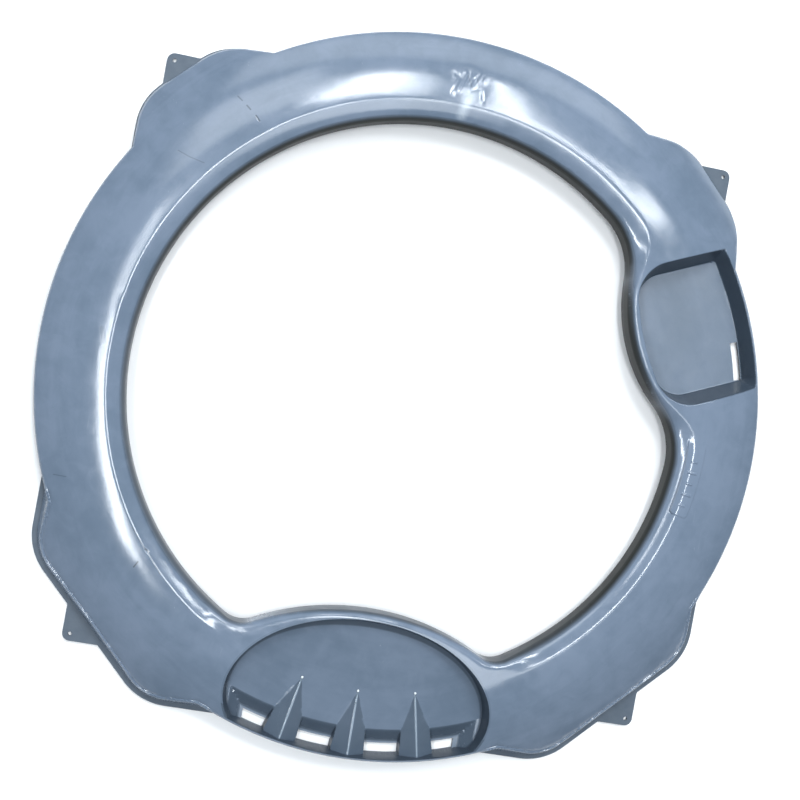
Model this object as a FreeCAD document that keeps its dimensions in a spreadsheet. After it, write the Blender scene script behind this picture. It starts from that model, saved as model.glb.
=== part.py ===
import FreeCAD, Part
import math
import os
from FreeCAD import Vector, Placement, Rotation

# Tub ring of a top-loading washer: one injection-moulded shell, open underneath.
# Frame: millimetres, +Z up, origin on the bottom plane at the centre of the ring,
# the dispenser tray towards -Y and the bleach pocket 24 degrees up from +X.

doc = FreeCAD.newDocument("tub_ring_model")

# ----------------------------------------------------------------------------
# driving dimensions
# ----------------------------------------------------------------------------
DIMS = [
    # the ring
    ("ring_radius", 280.0, "outer face of the skirt"),
    ("wall", 2.5, "moulded wall"),
    ("bore_radius", 212.3, "inner face of the inner skirt"),
    ("bore_x", -0.5, "centre of the opening, to the right of the ring's centre"),
    ("bore_y", -1.3, "centre of the opening, behind the ring's centre"),
    ("skirt_base", 12.0, "lower edge of the inner skirt"),
    ("crease_radius", 226.5, "ridge between crown and inner band"),
    ("crease_height", 35.0, "height of the crease"),
    ("lip_height", 30.4, "inner band where it meets the lip"),
    ("inner_height", 28.6, "top of the bulges at their inner end"),
    ("inner_radius", 150.0, "inner end of the crown section"),
    ("crown_radius", 130.0, "curvature of the crown"),
    ("crown_reach", 318.0, "outer end of the crown section"),
    ("lip_round", 5.5, "rounding of the lip"),
    # the four corner lobes, measured at the foot of their sloping skirt
    ("low_side", 259.0, "lower lobes, half width"),
    ("low_front", 261.5, "lower lobes, distance to the front side"),
    ("low_chamfer", 297.6, "lower lobes, distance to the 45 degree side"),
    ("high_side", 238.8, "upper lobes, half width"),
    ("high_back", 238.4, "upper lobes, distance to the back side"),
    ("high_chamfer", 301.0, "upper lobes, distance to the 45 degree side"),
    ("lobe_lean", 0.34, "inward lean of the lower lobe skirts, run over rise"),
    ("back_lean", 0.03, "inward lean of the upper lobe skirts, run over rise"),
    ("lobe_tall", 40.0, "height of the lobe blocks before trimming"),
    ("lobe_round", 45.0, "plan radius of the lobe corners"),
    ("bead_wide", 1.7, "raised bead on the lobe edge"),
    ("bead_tall", 0.9, "height of the bead above the crown"),
    ("flange_wide", 2.9, "foot flange outside the lower lobe skirts"),
    ("back_flange_wide", 1.6, "foot flange outside the upper lobe skirts"),
    ("flange_thick", 2.6, "foot flange and tabs"),
    ("tab_side", 226.2, "corner tabs, half side of their square"),
    ("tab_round", 6.0, "rounding of the tab corners"),
    ("tab_hole", 3.0, "hole in each tab"),
    ("tab_hole_inset", 5.6, "hole centre from the two edges of the tab"),
    # the bulges of the opening
    ("pocket_turn", 23.8, "direction of the bleach pocket"),
    ("pocket_bulge_radius", 127.0, "plan radius of the pocket bulge"),
    ("pocket_bulge_reach", 305.0, "centre of the pocket bulge"),
    ("pocket_bulge_blend", 56.5, "concave blend beside the pocket bulge"),
    ("tray_bulge_radius", 196.0, "plan radius of the tray bulge"),
    ("tray_bulge_reach", 360.0, "centre of the tray bulge"),
    ("tray_bulge_blend", 22.0, "concave blend beside the tray bulge"),
    # dispenser tray
    ("tray_x", 2.0, "centre of the oval tray"),
    ("tray_y", 237.0, "centre of the oval tray, towards the front"),
    ("tray_half_long", 102.3, "half length"),
    ("tray_half_wide", 67.0, "half width"),
    ("tray_high_floor", 25.0, "floor at its inner end"),
    ("tray_low_floor", 12.5, "floor at the step"),
    ("tray_step_radius", 256.0, "step down to the slots"),
    ("tray_foot_radius", 268.5, "foot of the ramp"),
    ("tray_gutter", 3.0, "floor of the gutter that holds the slots"),
    ("rib_apex_radius", 228.0, "inner end of the roof ribs"),
    ("rib_ridge", 18.4, "height of the rib ridges at the wall"),
    ("rib_apex", 16.4, "height of the rib ridges at their inner end"),
    ("rib_half", 13.4, "half width of a rib at the wall"),
    ("rib_shoulder", 10.2, "height of the rib eaves at the wall"),
    ("rib_turn", 11.2, "angle between ribs"),
    ("tray_end_inset", 86.0, "start of the rising floor at both ends, from the middle"),
    ("tray_end_rise", 9.6, "rise of that floor"),
    ("slot_inner_radius", 269.6, "inner edge of the drain slots"),
    # bleach pocket
    ("pocket_inner", 196.0, "floor, inner side"),
    ("pocket_half", 48.5, "floor, half width"),
    ("pocket_floor", 5.0, "top of the floor"),
    ("pocket_mouth", 35.0, "height where the mouth is measured"),
    ("pocket_mouth_inner", 184.5, "mouth, inner side"),
    ("pocket_mouth_half", 58.4, "mouth, half width"),
    ("pocket_round", 21.0, "corner radius"),
    ("pocket_wall_foot", 272.0, "outer wall at the floor"),
    ("pocket_wall_top", 277.5, "outer wall at its top"),
    ("pocket_wall_rise", 17.0, "height of the sloping outer wall"),
    ("notch_inner", 265.8, "outlet notch in the floor, inner radius"),
    ("notch_from", 13.4, "outlet notch, start angle"),
    ("notch_sweep", 6.5, "outlet notch, swept angle"),
    # label plate
    ("plate_inner", 220.2, "label plate, inner edge"),
    ("plate_outer", 234.6, "label plate, outer edge"),
    ("plate_from", -13.2, "label plate, start angle"),
    ("plate_sweep", 16.4, "label plate, swept angle"),
    ("plate_rise", 0.7, "label plate above the crown"),
    ("mark_rise", 0.5, "plain marks above the plate"),
]
sheet = doc.addObject("Spreadsheet::Sheet", "dims")
for row, (alias, value, note) in enumerate(DIMS, start=1):
    sheet.set("A%d" % row, alias)
    sheet.set("B%d" % row, repr(value))
    sheet.set("C%d" % row, note)
    sheet.setAlias("B%d" % row, alias)
doc.recompute()


def val(alias):
    return float(getattr(sheet, alias))


def bind(obj, **props):
    for prop, expr in props.items():
        obj.setExpression(prop, expr)
    return obj


def place(obj, x="0", y="0", z="0", turn=None):
    # position bound to the sheet, turn in degrees about +Z
    if turn is not None:
        obj.Placement = Placement(Vector(0, 0, 0), Rotation(Vector(0, 0, 1), 1.0))
        obj.setExpression("Placement.Rotation.Angle", turn)
    obj.setExpression("Placement.Base.x", x)
    obj.setExpression("Placement.Base.y", y)
    obj.setExpression("Placement.Base.z", z)
    return obj


def cylinder(name, radius, height, **where):
    obj = doc.addObject("Part::Cylinder", name)
    bind(obj, Radius=radius, Height=height)
    return place(obj, **where)


def box(name, length, width, height, **where):
    obj = doc.addObject("Part::Box", name)
    bind(obj, Length=length, Width=width, Height=height)
    return place(obj, **where)


def boolean(kind, name, *parts):
    if kind == "fuse":
        obj = doc.addObject("Part::MultiFuse", name)
        obj.Shapes = list(parts)
    elif kind == "common":
        obj = doc.addObject("Part::MultiCommon", name)
        obj.Shapes = list(parts)
    else:
        obj = doc.addObject("Part::Cut", name)
        obj.Base, obj.Tool = parts
    return obj


def edges_where(obj, test):
    return [i for i, e in enumerate(obj.Shape.Edges, start=1) if test(e)]


def fillet(name, base, edge_ids, alias, radius_expr=None):
    obj = doc.addObject("Part::Fillet", name)
    obj.Base = base
    r = val(alias) if radius_expr is None else radius_expr
    obj.Edges = [(i, r, r) for i in edge_ids]
    return obj


# ----------------------------------------------------------------------------
# section of the crown, revolved: broad crown, crease, inner band
# ----------------------------------------------------------------------------
def crown(name, drop):
    """Solid under the crown surface; drop is an expression for how far below
    the outer surface this one lies."""
    sk = doc.addObject("Sketcher::SketchObject", name + "_section")
    sk.Placement = Placement(Vector(0, 0, 0), Rotation(Vector(1, 0, 0), 90))
    rc, zc = val("crease_radius"), val("crease_height")
    R = val("crown_radius")
    cx = rc - 0.04 * R
    cz = zc - math.sqrt(R * R - (rc - cx) ** 2)
    ro = val("crown_reach")
    zo = cz + math.sqrt(R * R - (ro - cx) ** 2)
    ri, zi = val("inner_radius"), val("inner_height")
    rl, zl = val("bore_radius") + 2.0, val("lip_height")
    low = -8.0
    pts = [(ri, low), (ro, low), (ro, zo), (rc, zc), (rl, zl), (ri, zi)]
    a0 = math.atan2(zo - cz, ro - cx)
    a1 = math.atan2(zc - cz, rc - cx)
    V = lambda p: Vector(p[0], p[1], 0)
    sk.addGeometry(Part.LineSegment(V(pts[0]), V(pts[1])), False)
    sk.addGeometry(Part.LineSegment(V(pts[1]), V(pts[2])), False)
    circle = Part.Circle(Vector(cx, cz, 0), Vector(0, 0, 1), R)
    sk.addGeometry(Part.ArcOfCircle(circle, a0, a1), False)
    sk.addGeometry(Part.LineSegment(V(pts[3]), V(pts[4])), False)
    sk.addGeometry(Part.LineSegment(V(pts[4]), V(pts[5])), False)
    sk.addGeometry(Part.LineSegment(V(pts[5]), V(pts[0])), False)
    import Sketcher
    C = Sketcher.Constraint
    sk.addConstraint(C("Coincident", 0, 2, 1, 1))
    sk.addConstraint(C("Coincident", 1, 2, 2, 1))
    sk.addConstraint(C("Coincident", 2, 2, 3, 1))
    sk.addConstraint(C("Coincident", 3, 2, 4, 1))
    sk.addConstraint(C("Coincident", 4, 2, 5, 1))
    sk.addConstraint(C("Coincident", 5, 2, 0, 1))
    sk.addConstraint(C("Horizontal", 0))
    sk.addConstraint(C("Vertical", 1))
    sk.addConstraint(C("Vertical", 5))

    def dim(kind, geo, pos, value, label, expr):
        i = sk.addConstraint(C(kind, -1, 1, geo, pos, value))
        sk.renameConstraint(i, label)
        sk.setExpression("Constraints." + label, expr)

    dim("DistanceX", 0, 1, ri, "inner_r", "dims.inner_radius")
    dim("DistanceY", 0, 1, low, "base_z", "-8")
    dim("DistanceX", 1, 2, ro, "outer_r", "dims.crown_reach")
    dim("DistanceX", 3, 1, rc, "crease_r", "dims.crease_radius")
    dim("DistanceY", 3, 1, zc, "crease_z", "dims.crease_height - (%s)" % drop)
    dim("DistanceX", 3, 2, rl, "lip_r", "dims.bore_radius + 2")
    dim("DistanceY", 3, 2, zl, "lip_z", "dims.lip_height - (%s)" % drop)
    dim("DistanceY", 4, 2, zi, "inner_z", "dims.inner_height - (%s)" % drop)
    i = sk.addConstraint(C("Radius", 2, R))
    sk.renameConstraint(i, "crown")
    sk.setExpression("Constraints.crown", "dims.crown_radius - (%s)" % drop)
    dim("DistanceX", 2, 3, cx, "centre_r", "dims.crease_radius - 0.04 * dims.crown_radius")
    rev = doc.addObject("Part::Revolution", name)
    rev.Source = sk
    rev.Axis = (0, 0, 1)
    rev.Base = (0, 0, 0)
    rev.Angle = 360.0
    rev.Solid = True
    return rev


crown_outer = crown("crown_outer", "0")
crown_inner = crown("crown_inner", "dims.wall")
crown_bead = crown("crown_bead", "-dims.bead_tall")
crown_plate = crown("crown_plate", "-dims.plate_rise")
crown_mark = crown("crown_mark", "-dims.plate_rise - dims.mark_rise")


# ----------------------------------------------------------------------------
# plan of the four lobes: square blocks with sloping sides, corners cut at 45
# degrees, vertical corner edges rounded
# ----------------------------------------------------------------------------
def slab(name, x0, x1, y0, y1, lean, tall, turn=None):
    """Block with all four sides leaning in by lean over its height."""
    w = doc.addObject("Part::Wedge", name)
    # the wedge grows along its own Y; turned so that this points up
    w.Placement = Placement(Vector(0, 0, 0), Rotation(Vector(1, 0, 0), 90))
    bind(w, Xmin=x0, Xmax=x1, Zmin="-(%s)" % y1, Zmax="-(%s)" % y0,
         Ymin="0", Ymax=tall,
         X2min="(%s) + (%s)" % (x0, lean), X2max="(%s) - (%s)" % (x1, lean),
         Z2min="-(%s) + (%s)" % (y1, lean), Z2max="-(%s) - (%s)" % (y0, lean))
    if turn:
        w.Placement = Placement(Vector(0, 0, 0),
                                Rotation(Vector(0, 0, 1), turn) * Rotation(Vector(1, 0, 0), 90))
    return w


def lobes(name, low_inset, high_inset, grow, upright=False, tall="dims.lobe_tall"):
    """Lower and upper lobe blocks; the insets say how far inside the lobe foot,
    grow is the change of the corner radius."""
    out = []
    for tag, side, ylo, yhi, cham, lean, inset in (
            ("low", "dims.low_side", "-dims.low_front", "0", "dims.low_chamfer",
             "dims.lobe_lean * dims.lobe_tall", low_inset),
            ("high", "dims.high_side", "0", "dims.high_back", "dims.high_chamfer",
             "dims.back_lean * dims.lobe_tall", high_inset)):
        lean = "0" if upright else lean
        rounding = val("lobe_round") + grow
        s = "%s - (%s)" % (side, inset)
        if tag == "low":
            y0, y1 = "%s + (%s)" % (ylo, inset), "60"
        else:
            y0, y1 = "-60", "%s - (%s)" % (yhi, inset)
        a = slab("%s_%s_block" % (name, tag), "-(%s)" % s, s, y0, y1, lean, tall)
        c = "%s - (%s)" % (cham, inset)
        b = slab("%s_%s_corners" % (name, tag), "-(%s)" % c, c, "-(%s)" % c, c, lean, tall, 45)
        cut = boolean("common", "%s_%s" % (name, tag), a, b)
        doc.recompute()
        sgn = -1 if tag == "low" else 1
        ids = edges_where(cut, lambda e: abs(e.tangentAt(e.FirstParameter).z) > 0.5
                          and sgn * e.CenterOfMass.y > 100)
        out.append(fillet("%s_%s_rounded" % (name, tag), cut, ids, None, rounding))
    return out


lobe_out = lobes("lobe", "0", "0", 0.0)
lobe_in = lobes("lobe_hollow", "dims.wall", "dims.wall", -val("wall"))
lobe_bead = lobes("lobe_bead", "dims.bead_wide", "dims.bead_wide", -val("bead_wide"))
flange = lobes("flange", "-dims.flange_wide", "-dims.back_flange_wide", val("flange_wide"),
               upright=True, tall="dims.flange_thick")

ring_drum = cylinder("ring_drum", "dims.ring_radius", "dims.lobe_tall")
ring_hollow = cylinder("ring_hollow", "dims.ring_radius - dims.wall", "dims.lobe_tall + 10", z="-10")


# ----------------------------------------------------------------------------
# the opening: circle with two bulges pushed into it, with blended corners
# ----------------------------------------------------------------------------
def opening(name, grow):
    disc = cylinder(name + "_disc", "dims.bore_radius + (%s)" % grow, "90",
                    x="dims.bore_x", y="dims.bore_y", z="-20")
    p = cylinder(name + "_pocket", "dims.pocket_bulge_radius - (%s)" % grow, "100",
                 x="dims.pocket_bulge_reach * cos(dims.pocket_turn * 1 deg)",
                 y="dims.pocket_bulge_reach * sin(dims.pocket_turn * 1 deg)", z="-25")
    t = cylinder(name + "_tray", "dims.tray_bulge_radius - (%s)" % grow, "100",
                 y="-dims.tray_bulge_reach", z="-25")
    both = boolean("fuse", name + "_bulges", p, t)
    cut = boolean("cut", name + "_sharp", disc, both)
    doc.recompute()
    g = val("wall") if grow != "0" else 0.0

    def upright(e, front):
        v = e.Vertexes
        if len(v) != 2 or abs(v[0].X - v[1].X) + abs(v[0].Y - v[1].Y) > 1e-3:
            return False
        if not hasattr(e.Curve, "Direction"):
            return False
        return (e.CenterOfMass.y < -100) == front

    front = edges_where(cut, lambda e: upright(e, True))
    side = edges_where(cut, lambda e: upright(e, False) and e.CenterOfMass.x > 60)
    obj = doc.addObject("Part::Fillet", name)
    obj.Base = cut
    rt, rp = val("tray_bulge_blend") + g, val("pocket_bulge_blend") + g
    obj.Edges = [(i, rt, rt) for i in front] + [(i, rp, rp) for i in side]
    return obj


hole = opening("opening", "0")
hole_wall = opening("opening_wall", "dims.wall")

# ----------------------------------------------------------------------------
# outer body and the hollow under it
# ----------------------------------------------------------------------------
outline = boolean("fuse", "outline", ring_drum, *lobe_out)
capped = boolean("common", "capped", outline, crown_outer)
solid_ring = boolean("cut", "solid_ring", capped, hole)
doc.recompute()


def lip_edge(e):
    # edges of the opening at the top of the inner band, all the way round
    c = e.CenterOfMass
    zs = [p.z for p in e.discretize(5)]
    if min(zs) < 24 or max(zs) > 34:
        return False
    for p in e.discretize(5):
        r = math.hypot(p.x, p.y)
        if r > val("bore_radius") + 1.6:
            return False
    return True


lip_ids = edges_where(solid_ring, lip_edge)
print("lip edges", len(lip_ids), "length",
      round(sum(solid_ring.Shape.Edges[i - 1].Length for i in lip_ids), 1))
lip = fillet("lip_rounded", solid_ring, lip_ids, "lip_round")
doc.recompute()
lip_ok = lip.isValid() and not lip.Shape.isNull() and lip.Shape.isValid() and lip.Shape.Volume > 1e6
print("lip rounding ok", lip_ok)
skin = lip if lip_ok else solid_ring

hollow_plan = boolean("fuse", "hollow_plan", ring_hollow, *lobe_in)
hollow_cap = boolean("common", "hollow_cap", hollow_plan, crown_inner)
# the inner skirt is shorter than the outer one: below its edge the hollow is open
above_skirt_base = cylinder("above_skirt_base", "240", "60", z="dims.skirt_base")
inner_skirt = boolean("common", "inner_skirt", hole_wall, above_skirt_base)
hollow = boolean("cut", "hollow", hollow_cap, inner_skirt)
shell = boolean("cut", "shell", skin, hollow)

# foot flange outside the lobe skirts, and the four flat corner tabs
tab_plate = box("tab_plate", "2 * dims.tab_side", "2 * dims.tab_side", "dims.flange_thick",
                x="-dims.tab_side", y="-dims.tab_side")
doc.recompute()
tab_round = fillet("tab_plate_rounded", tab_plate,
                   edges_where(tab_plate, lambda e: abs(e.tangentAt(e.FirstParameter).z) > 0.9),
                   "tab_round")
foot_plate = boolean("fuse", "foot_plate", tab_round, *flange)
foot_clear = cylinder("foot_clear", "dims.ring_radius - dims.wall", "40", z="-10")
foot_lobe_clear = boolean("fuse", "foot_lobe_clear", foot_clear, *lobe_in)
foot = boolean("cut", "foot", foot_plate, foot_lobe_clear)

# raised bead along the edge of the lower lobes
bead_cap = boolean("common", "bead_cap", lobe_out[0], crown_bead)
bead_inside = cylinder("bead_ring_inside", "dims.ring_radius - 0.6", "60", z="-5")
bead_clear = boolean("fuse", "bead_clear", bead_inside, lobe_bead[0])
bead = boolean("cut", "bead", bead_cap, bead_clear)

# ----------------------------------------------------------------------------
# dispenser tray: oval well with a falling floor, a ramp and a gutter
# ----------------------------------------------------------------------------
def oval(name, grow, z0, height):
    e = doc.addObject("Part::Ellipse", name + "_line")
    bind(e, MajorRadius="dims.tray_half_long + (%s)" % grow,
         MinorRadius="dims.tray_half_wide + (%s)" % grow)
    place(e, x="dims.tray_x", y="-dims.tray_y", z=z0)
    x = doc.addObject("Part::Extrusion", name)
    x.Base = e
    x.DirMode = "Custom"
    x.Dir = Vector(0, 0, 1)
    x.Solid = True
    x.setExpression("LengthFwd", height)
    return x


def floor_region(name, drop):
    """Everything above the tray floor, revolved about the ring axis."""
    sk = doc.addObject("Sketcher::SketchObject", name + "_section")
    sk.Placement = Placement(Vector(0, 0, 0), Rotation(Vector(1, 0, 0), 90))
    top = 70.0
    cols = [("dims.inner_radius", "dims.tray_high_floor + (dims.tray_step_radius - dims.inner_radius - 86) * 0.1453",
             val("inner_radius"), val("tray_high_floor") + 2.91),
            ("dims.tray_step_radius", "dims.tray_low_floor", val("tray_step_radius"), val("tray_low_floor")),
            ("dims.tray_foot_radius", "dims.tray_gutter", val("tray_foot_radius"), val("tray_gutter")),
            ("dims.crown_reach", "dims.tray_gutter", val("crown_reach"), val("tray_gutter"))]
    pts = [(c[2], c[3] - 0.0) for c in cols] + [(val("crown_reach"), top), (val("inner_radius"), top)]
    V = lambda p: Vector(p[0], p[1], 0)
    n = len(pts)
    for i in range(n):
        sk.addGeometry(Part.LineSegment(V(pts[i]), V(pts[(i + 1) % n])), False)
    import Sketcher
    C = Sketcher.Constraint
    for i in range(n):
        sk.addConstraint(C("Coincident", i, 2, (i + 1) % n, 1))
    for i, (xe, ze, xv, zv) in enumerate(cols):
        a = sk.addConstraint(C("DistanceX", -1, 1, i, 1, xv))
        sk.renameConstraint(a, "r%s" % "abcd"[i] + "_at")
        sk.setExpression("Constraints.r%s_at" % "abcd"[i], xe)
        b = sk.addConstraint(C("DistanceY", -1, 1, i, 1, zv))
        sk.renameConstraint(b, "z%s_at" % "abcd"[i])
        sk.setExpression("Constraints.z%s_at" % "abcd"[i], "%s - (%s)" % (ze, drop))
    sk.addConstraint(C("Vertical", 3))
    sk.addConstraint(C("Horizontal", 4))
    a = sk.addConstraint(C("DistanceY", -1, 1, 4, 1, top))
    sk.renameConstraint(a, "top_at")
    sk.addConstraint(C("Vertical", 5))
    rev = doc.addObject("Part::Revolution", name)
    rev.Source = sk
    rev.Axis = (0, 0, 1)
    rev.Base = (0, 0, 0)
    rev.Angle = 360.0
    rev.Solid = True
    return rev


tray_above = floor_region("tray_above", "0")
tray_below = floor_region("tray_below", "dims.wall")
tray_well_oval = oval("tray_well_oval", "0", "-5", "70")
tray_cup_oval = oval("tray_cup_oval", "dims.wall", "-5", "70")
inner_drum = cylinder("inner_drum", "dims.ring_radius - dims.wall", "90", z="-10")
full_drum = cylinder("full_drum", "dims.ring_radius", "90", z="-10")
tray_well = boolean("common", "tray_well", tray_well_oval, tray_above, inner_drum)
tray_cup = boolean("common", "tray_cup", tray_cup_oval, tray_below, full_drum, crown_outer)

# roof-shaped ribs between the drain slots, each a small hip roof whose ridge
# runs level from the floor to the outer wall
def roof_rib(name, turn, skin=0.0):
    """skin 0 gives the rib, a wall thickness gives the hollow under it."""
    ra = val("rib_apex_radius") + 3.2 * skin
    rw = val("ring_radius") - val("wall") + (0.0 if skin else 0.8)
    hw, ridge, eave = val("rib_half") - skin, val("rib_ridge") - skin, val("rib_shoulder") - skin
    low = -3.0 if skin else val("tray_gutter") - val("wall")
    rs, hs = val("tray_step_radius"), val("rib_half") * 0.83 - skin
    floor_at_step = val("tray_low_floor") - skin
    a = Vector(ra, 0, val("rib_apex") - skin)
    b = Vector(rw, 0, ridge)
    sl, sr = Vector(rs, -hs, floor_at_step - 0.3), Vector(rs, hs, floor_at_step - 0.3)
    wl, wr = Vector(rw, -hw, eave), Vector(rw, hw, eave)
    a0 = Vector(ra, 0, low)
    sl0, sr0 = Vector(rs, -hs, low), Vector(rs, hs, low)
    wl0, wr0 = Vector(rw, -hw, low), Vector(rw, hw, low)

    def face(*p):
        return Part.Face(Part.makePolygon(list(p) + [p[0]]))

    tris = [face(a, b, sr), face(b, wr, sr), face(a, sl, b), face(b, sl, wl),
            face(a, sr, sr0), face(a, sr0, a0), face(sr, wr, wr0), face(sr, wr0, sr0),
            face(a, sl0, sl), face(a, a0, sl0), face(sl, wl0, wl), face(sl, sl0, wl0),
            face(b, wl, wl0), face(b, wl0, wr0), face(b, wr0, wr),
            face(a0, sr0, sl0), face(sl0, sr0, wr0), face(sl0, wr0, wl0)]
    sh = Part.Shell(tris)
    so = Part.Solid(sh)
    if so.Volume < 0:
        so.reverse()
    f = doc.addObject("Part::Feature", name)
    f.Shape = so
    f.Placement = Placement(Vector(0, 0, 0), Rotation(Vector(0, 0, 1), turn))
    return f


ribs = [roof_rib("roof_rib_left", 270.5 - val("rib_turn")),
        roof_rib("roof_rib_middle", 270.5),
        roof_rib("roof_rib_right", 270.5 + val("rib_turn"))]


def tray_end(name, side):
    """Floor that rises beside the outermost slots to the two ends of the tray."""
    x0, rise = val("tray_end_inset"), val("tray_end_rise")
    low, z0 = val("tray_gutter") - val("wall"), val("tray_gutter") - 0.05
    sec = [(x0, low), (x0 + 24, low), (x0 + 24, z0 + rise), (x0 + 11, z0 + rise), (x0, z0)]
    pts = [Vector(side * x + val("tray_x"), -282, z) for x, z in sec]
    f = doc.addObject("Part::Feature", name)
    f.Shape = Part.Face(Part.makePolygon(pts + pts[:1])).extrude(Vector(0, 60, 0))
    return f


rib_oval = oval("rib_oval", "0.5", "-5", "70")
ends_drum = cylinder("ends_drum", "dims.ring_radius - dims.wall + 0.3", "60", z="-5")
ends = boolean("fuse", "tray_ends_raw", tray_end("tray_end_left", -1), tray_end("tray_end_right", 1))
ends_in = boolean("common", "tray_ends", ends, ends_drum)
rib_group = boolean("fuse", "rib_group", *(ribs + [ends_in]))
rib_trim = boolean("common", "rib_trim", rib_group, rib_oval)
rib_hollows = [roof_rib("rib_hollow_left", 270.5 - val("rib_turn"), val("wall")),
               roof_rib("rib_hollow_middle", 270.5, val("wall")),
               roof_rib("rib_hollow_right", 270.5 + val("rib_turn"), val("wall"))]

# drain slots through the gutter, between the ribs
def slot(name, x0, x1):
    b = box(name + "_box", "%g" % (x1 - x0), "30", "40", x="%g" % x0,
            y="-dims.ring_radius - 8", z="-20")
    return b


slot_boxes = [slot("slot_a", -81.8, -65.4), slot("slot_b", -36.4, -11.6),
              slot("slot_c", 16.6, 41.4), slot("slot_d", 69.0, 84.8)]
slot_boxes_all = boolean("fuse", "slot_boxes", *slot_boxes)
slot_core = cylinder("slot_core", "dims.slot_inner_radius", "80", z="-30")
slot_ring_raw = boolean("cut", "slot_band", inner_drum, slot_core)
slot_below = cylinder("slot_low", "dims.ring_radius", "14", z="-9")
slots = boolean("common", "slots", slot_boxes_all, slot_ring_raw, slot_below)

# ----------------------------------------------------------------------------
# bleach pocket: drafted well with rounded inner corners
# ----------------------------------------------------------------------------
def pocket_block(name, grow, floor_expr, rounding):
    w = doc.addObject("Part::Wedge", name + "_sharp")
    w.Placement = Placement(Vector(0, 0, 0),
                            Rotation(Vector(0, 0, 1), val("pocket_turn")) * Rotation(Vector(1, 0, 0), 90))
    k = "(dims.pocket_half + (%s))" % grow
    m = "(dims.pocket_mouth_half + (%s))" % grow
    bind(w, Ymin=floor_expr, Ymax="dims.pocket_mouth + 4",
         Xmin="dims.pocket_inner - (%s)" % grow, Xmax="300",
         Zmin="-" + k, Zmax=k,
         X2min="dims.pocket_mouth_inner - (%s)" % grow, X2max="300",
         Z2min="-" + m, Z2max=m)
    doc.recompute()
    turn = math.radians(val("pocket_turn"))

    def inner_corner(e):
        t = e.tangentAt(e.FirstParameter)
        c = e.CenterOfMass
        u = c.x * math.cos(turn) + c.y * math.sin(turn)
        return abs(t.z) > 0.5 and u < 240

    return fillet(name, w, edges_where(w, inner_corner), None, rounding)


pocket_space = pocket_block("pocket_space", "0", "dims.pocket_floor", val("pocket_round"))
pocket_cup = pocket_block("pocket_cup", "dims.wall", "dims.pocket_floor - dims.wall",
                          val("pocket_round") + val("wall"))
pocket_cone = doc.addObject("Part::Cone", "pocket_outer_wall")
bind(pocket_cone, Radius1="dims.pocket_wall_foot", Radius2="dims.pocket_wall_top",
     Height="dims.pocket_wall_rise")
place(pocket_cone, z="dims.pocket_floor")
pocket_top_drum = cylinder("pocket_top_drum", "dims.pocket_wall_top", "30",
                           z="dims.pocket_floor + dims.pocket_wall_rise")
pocket_limit = boolean("fuse", "pocket_limit", pocket_cone, pocket_top_drum)
pocket_well = boolean("common", "pocket_well", pocket_space, pocket_limit)
pocket_body = boolean("common", "pocket_body", pocket_cup, full_drum, crown_outer)
notch_arc = cylinder("notch_arc", "dims.pocket_wall_foot", "16")
bind(notch_arc, Angle="dims.notch_sweep")
place(notch_arc, z="-10", turn="dims.notch_from")
notch_core = cylinder("notch_core", "dims.notch_inner", "30", z="-15")
notch_cut = boolean("cut", "notch_cut", notch_arc, notch_core)

# ----------------------------------------------------------------------------
# label plate on the crease, with plain raised marks
# ----------------------------------------------------------------------------
plate_ring = cylinder("plate_ring", "dims.plate_outer", "60")
bind(plate_ring, Angle="dims.plate_sweep")
place(plate_ring, z="20", turn="dims.plate_from + 360")
plate_core = cylinder("plate_core", "dims.plate_inner", "80", z="0")
plate_sector = boolean("cut", "plate_sector", plate_ring, plate_core)
plate_cap = boolean("common", "plate_cap", plate_sector, crown_plate)
plate_base = cylinder("plate_base", "300", "29", z="0")
plate = boolean("cut", "plate", plate_cap, plate_base)

marks = []
for k, (turn, long) in enumerate(((-11.0, 5.0), (-8.8, 8.0), (-6.6, 5.0), (-4.4, 8.0), (-2.2, 5.0))):
    b = doc.addObject("Part::Box", "mark_bar_%d" % (k + 1))
    b.Length, b.Width, b.Height = long, 1.5, 60.0
    a = math.radians(turn)
    rad = 227.4
    b.Placement = Placement(Vector((rad - long / 2) * math.cos(a) + 0.75 * math.sin(a),
                                   (rad - long / 2) * math.sin(a) - 0.75 * math.cos(a), 30),
                            Rotation(Vector(0, 0, 1), turn))
    marks.append(b)
mark_bars = boolean("fuse", "mark_bars", *marks)
mark_cap = boolean("common", "mark_cap", mark_bars, crown_mark)

# ----------------------------------------------------------------------------
# everything together
# ----------------------------------------------------------------------------
cups = boolean("fuse", "cups", shell, foot, bead, tray_cup, pocket_body)
hole_again = boolean("cut", "cups_open", cups, hole)
wells = boolean("fuse", "wells", tray_well, pocket_well)
hollowed = boolean("cut", "cups_hollowed", hole_again, wells)
with_ribs = boolean("fuse", "cups_ribbed", hollowed, rib_trim, plate, mark_cap)
tab_holes = []
for sx, sy, tag in ((1, 1, "back_right"), (-1, 1, "back_left"), (-1, -1, "front_left"), (1, -1, "front_right")):
    tab_holes.append(cylinder("tab_hole_" + tag, "dims.tab_hole / 2", "20", z="-10",
                              x="%d * (dims.tab_side - dims.tab_hole_inset)" % sx,
                              y="%d * (dims.tab_side - dims.tab_hole_inset)" % sy))
cuts = boolean("fuse", "cuts", slots, notch_cut, *(rib_hollows + tab_holes))
finished = boolean("cut", "tub_ring", with_ribs, cuts)
finished.Label = "tub_ring"
doc.recompute()

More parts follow.
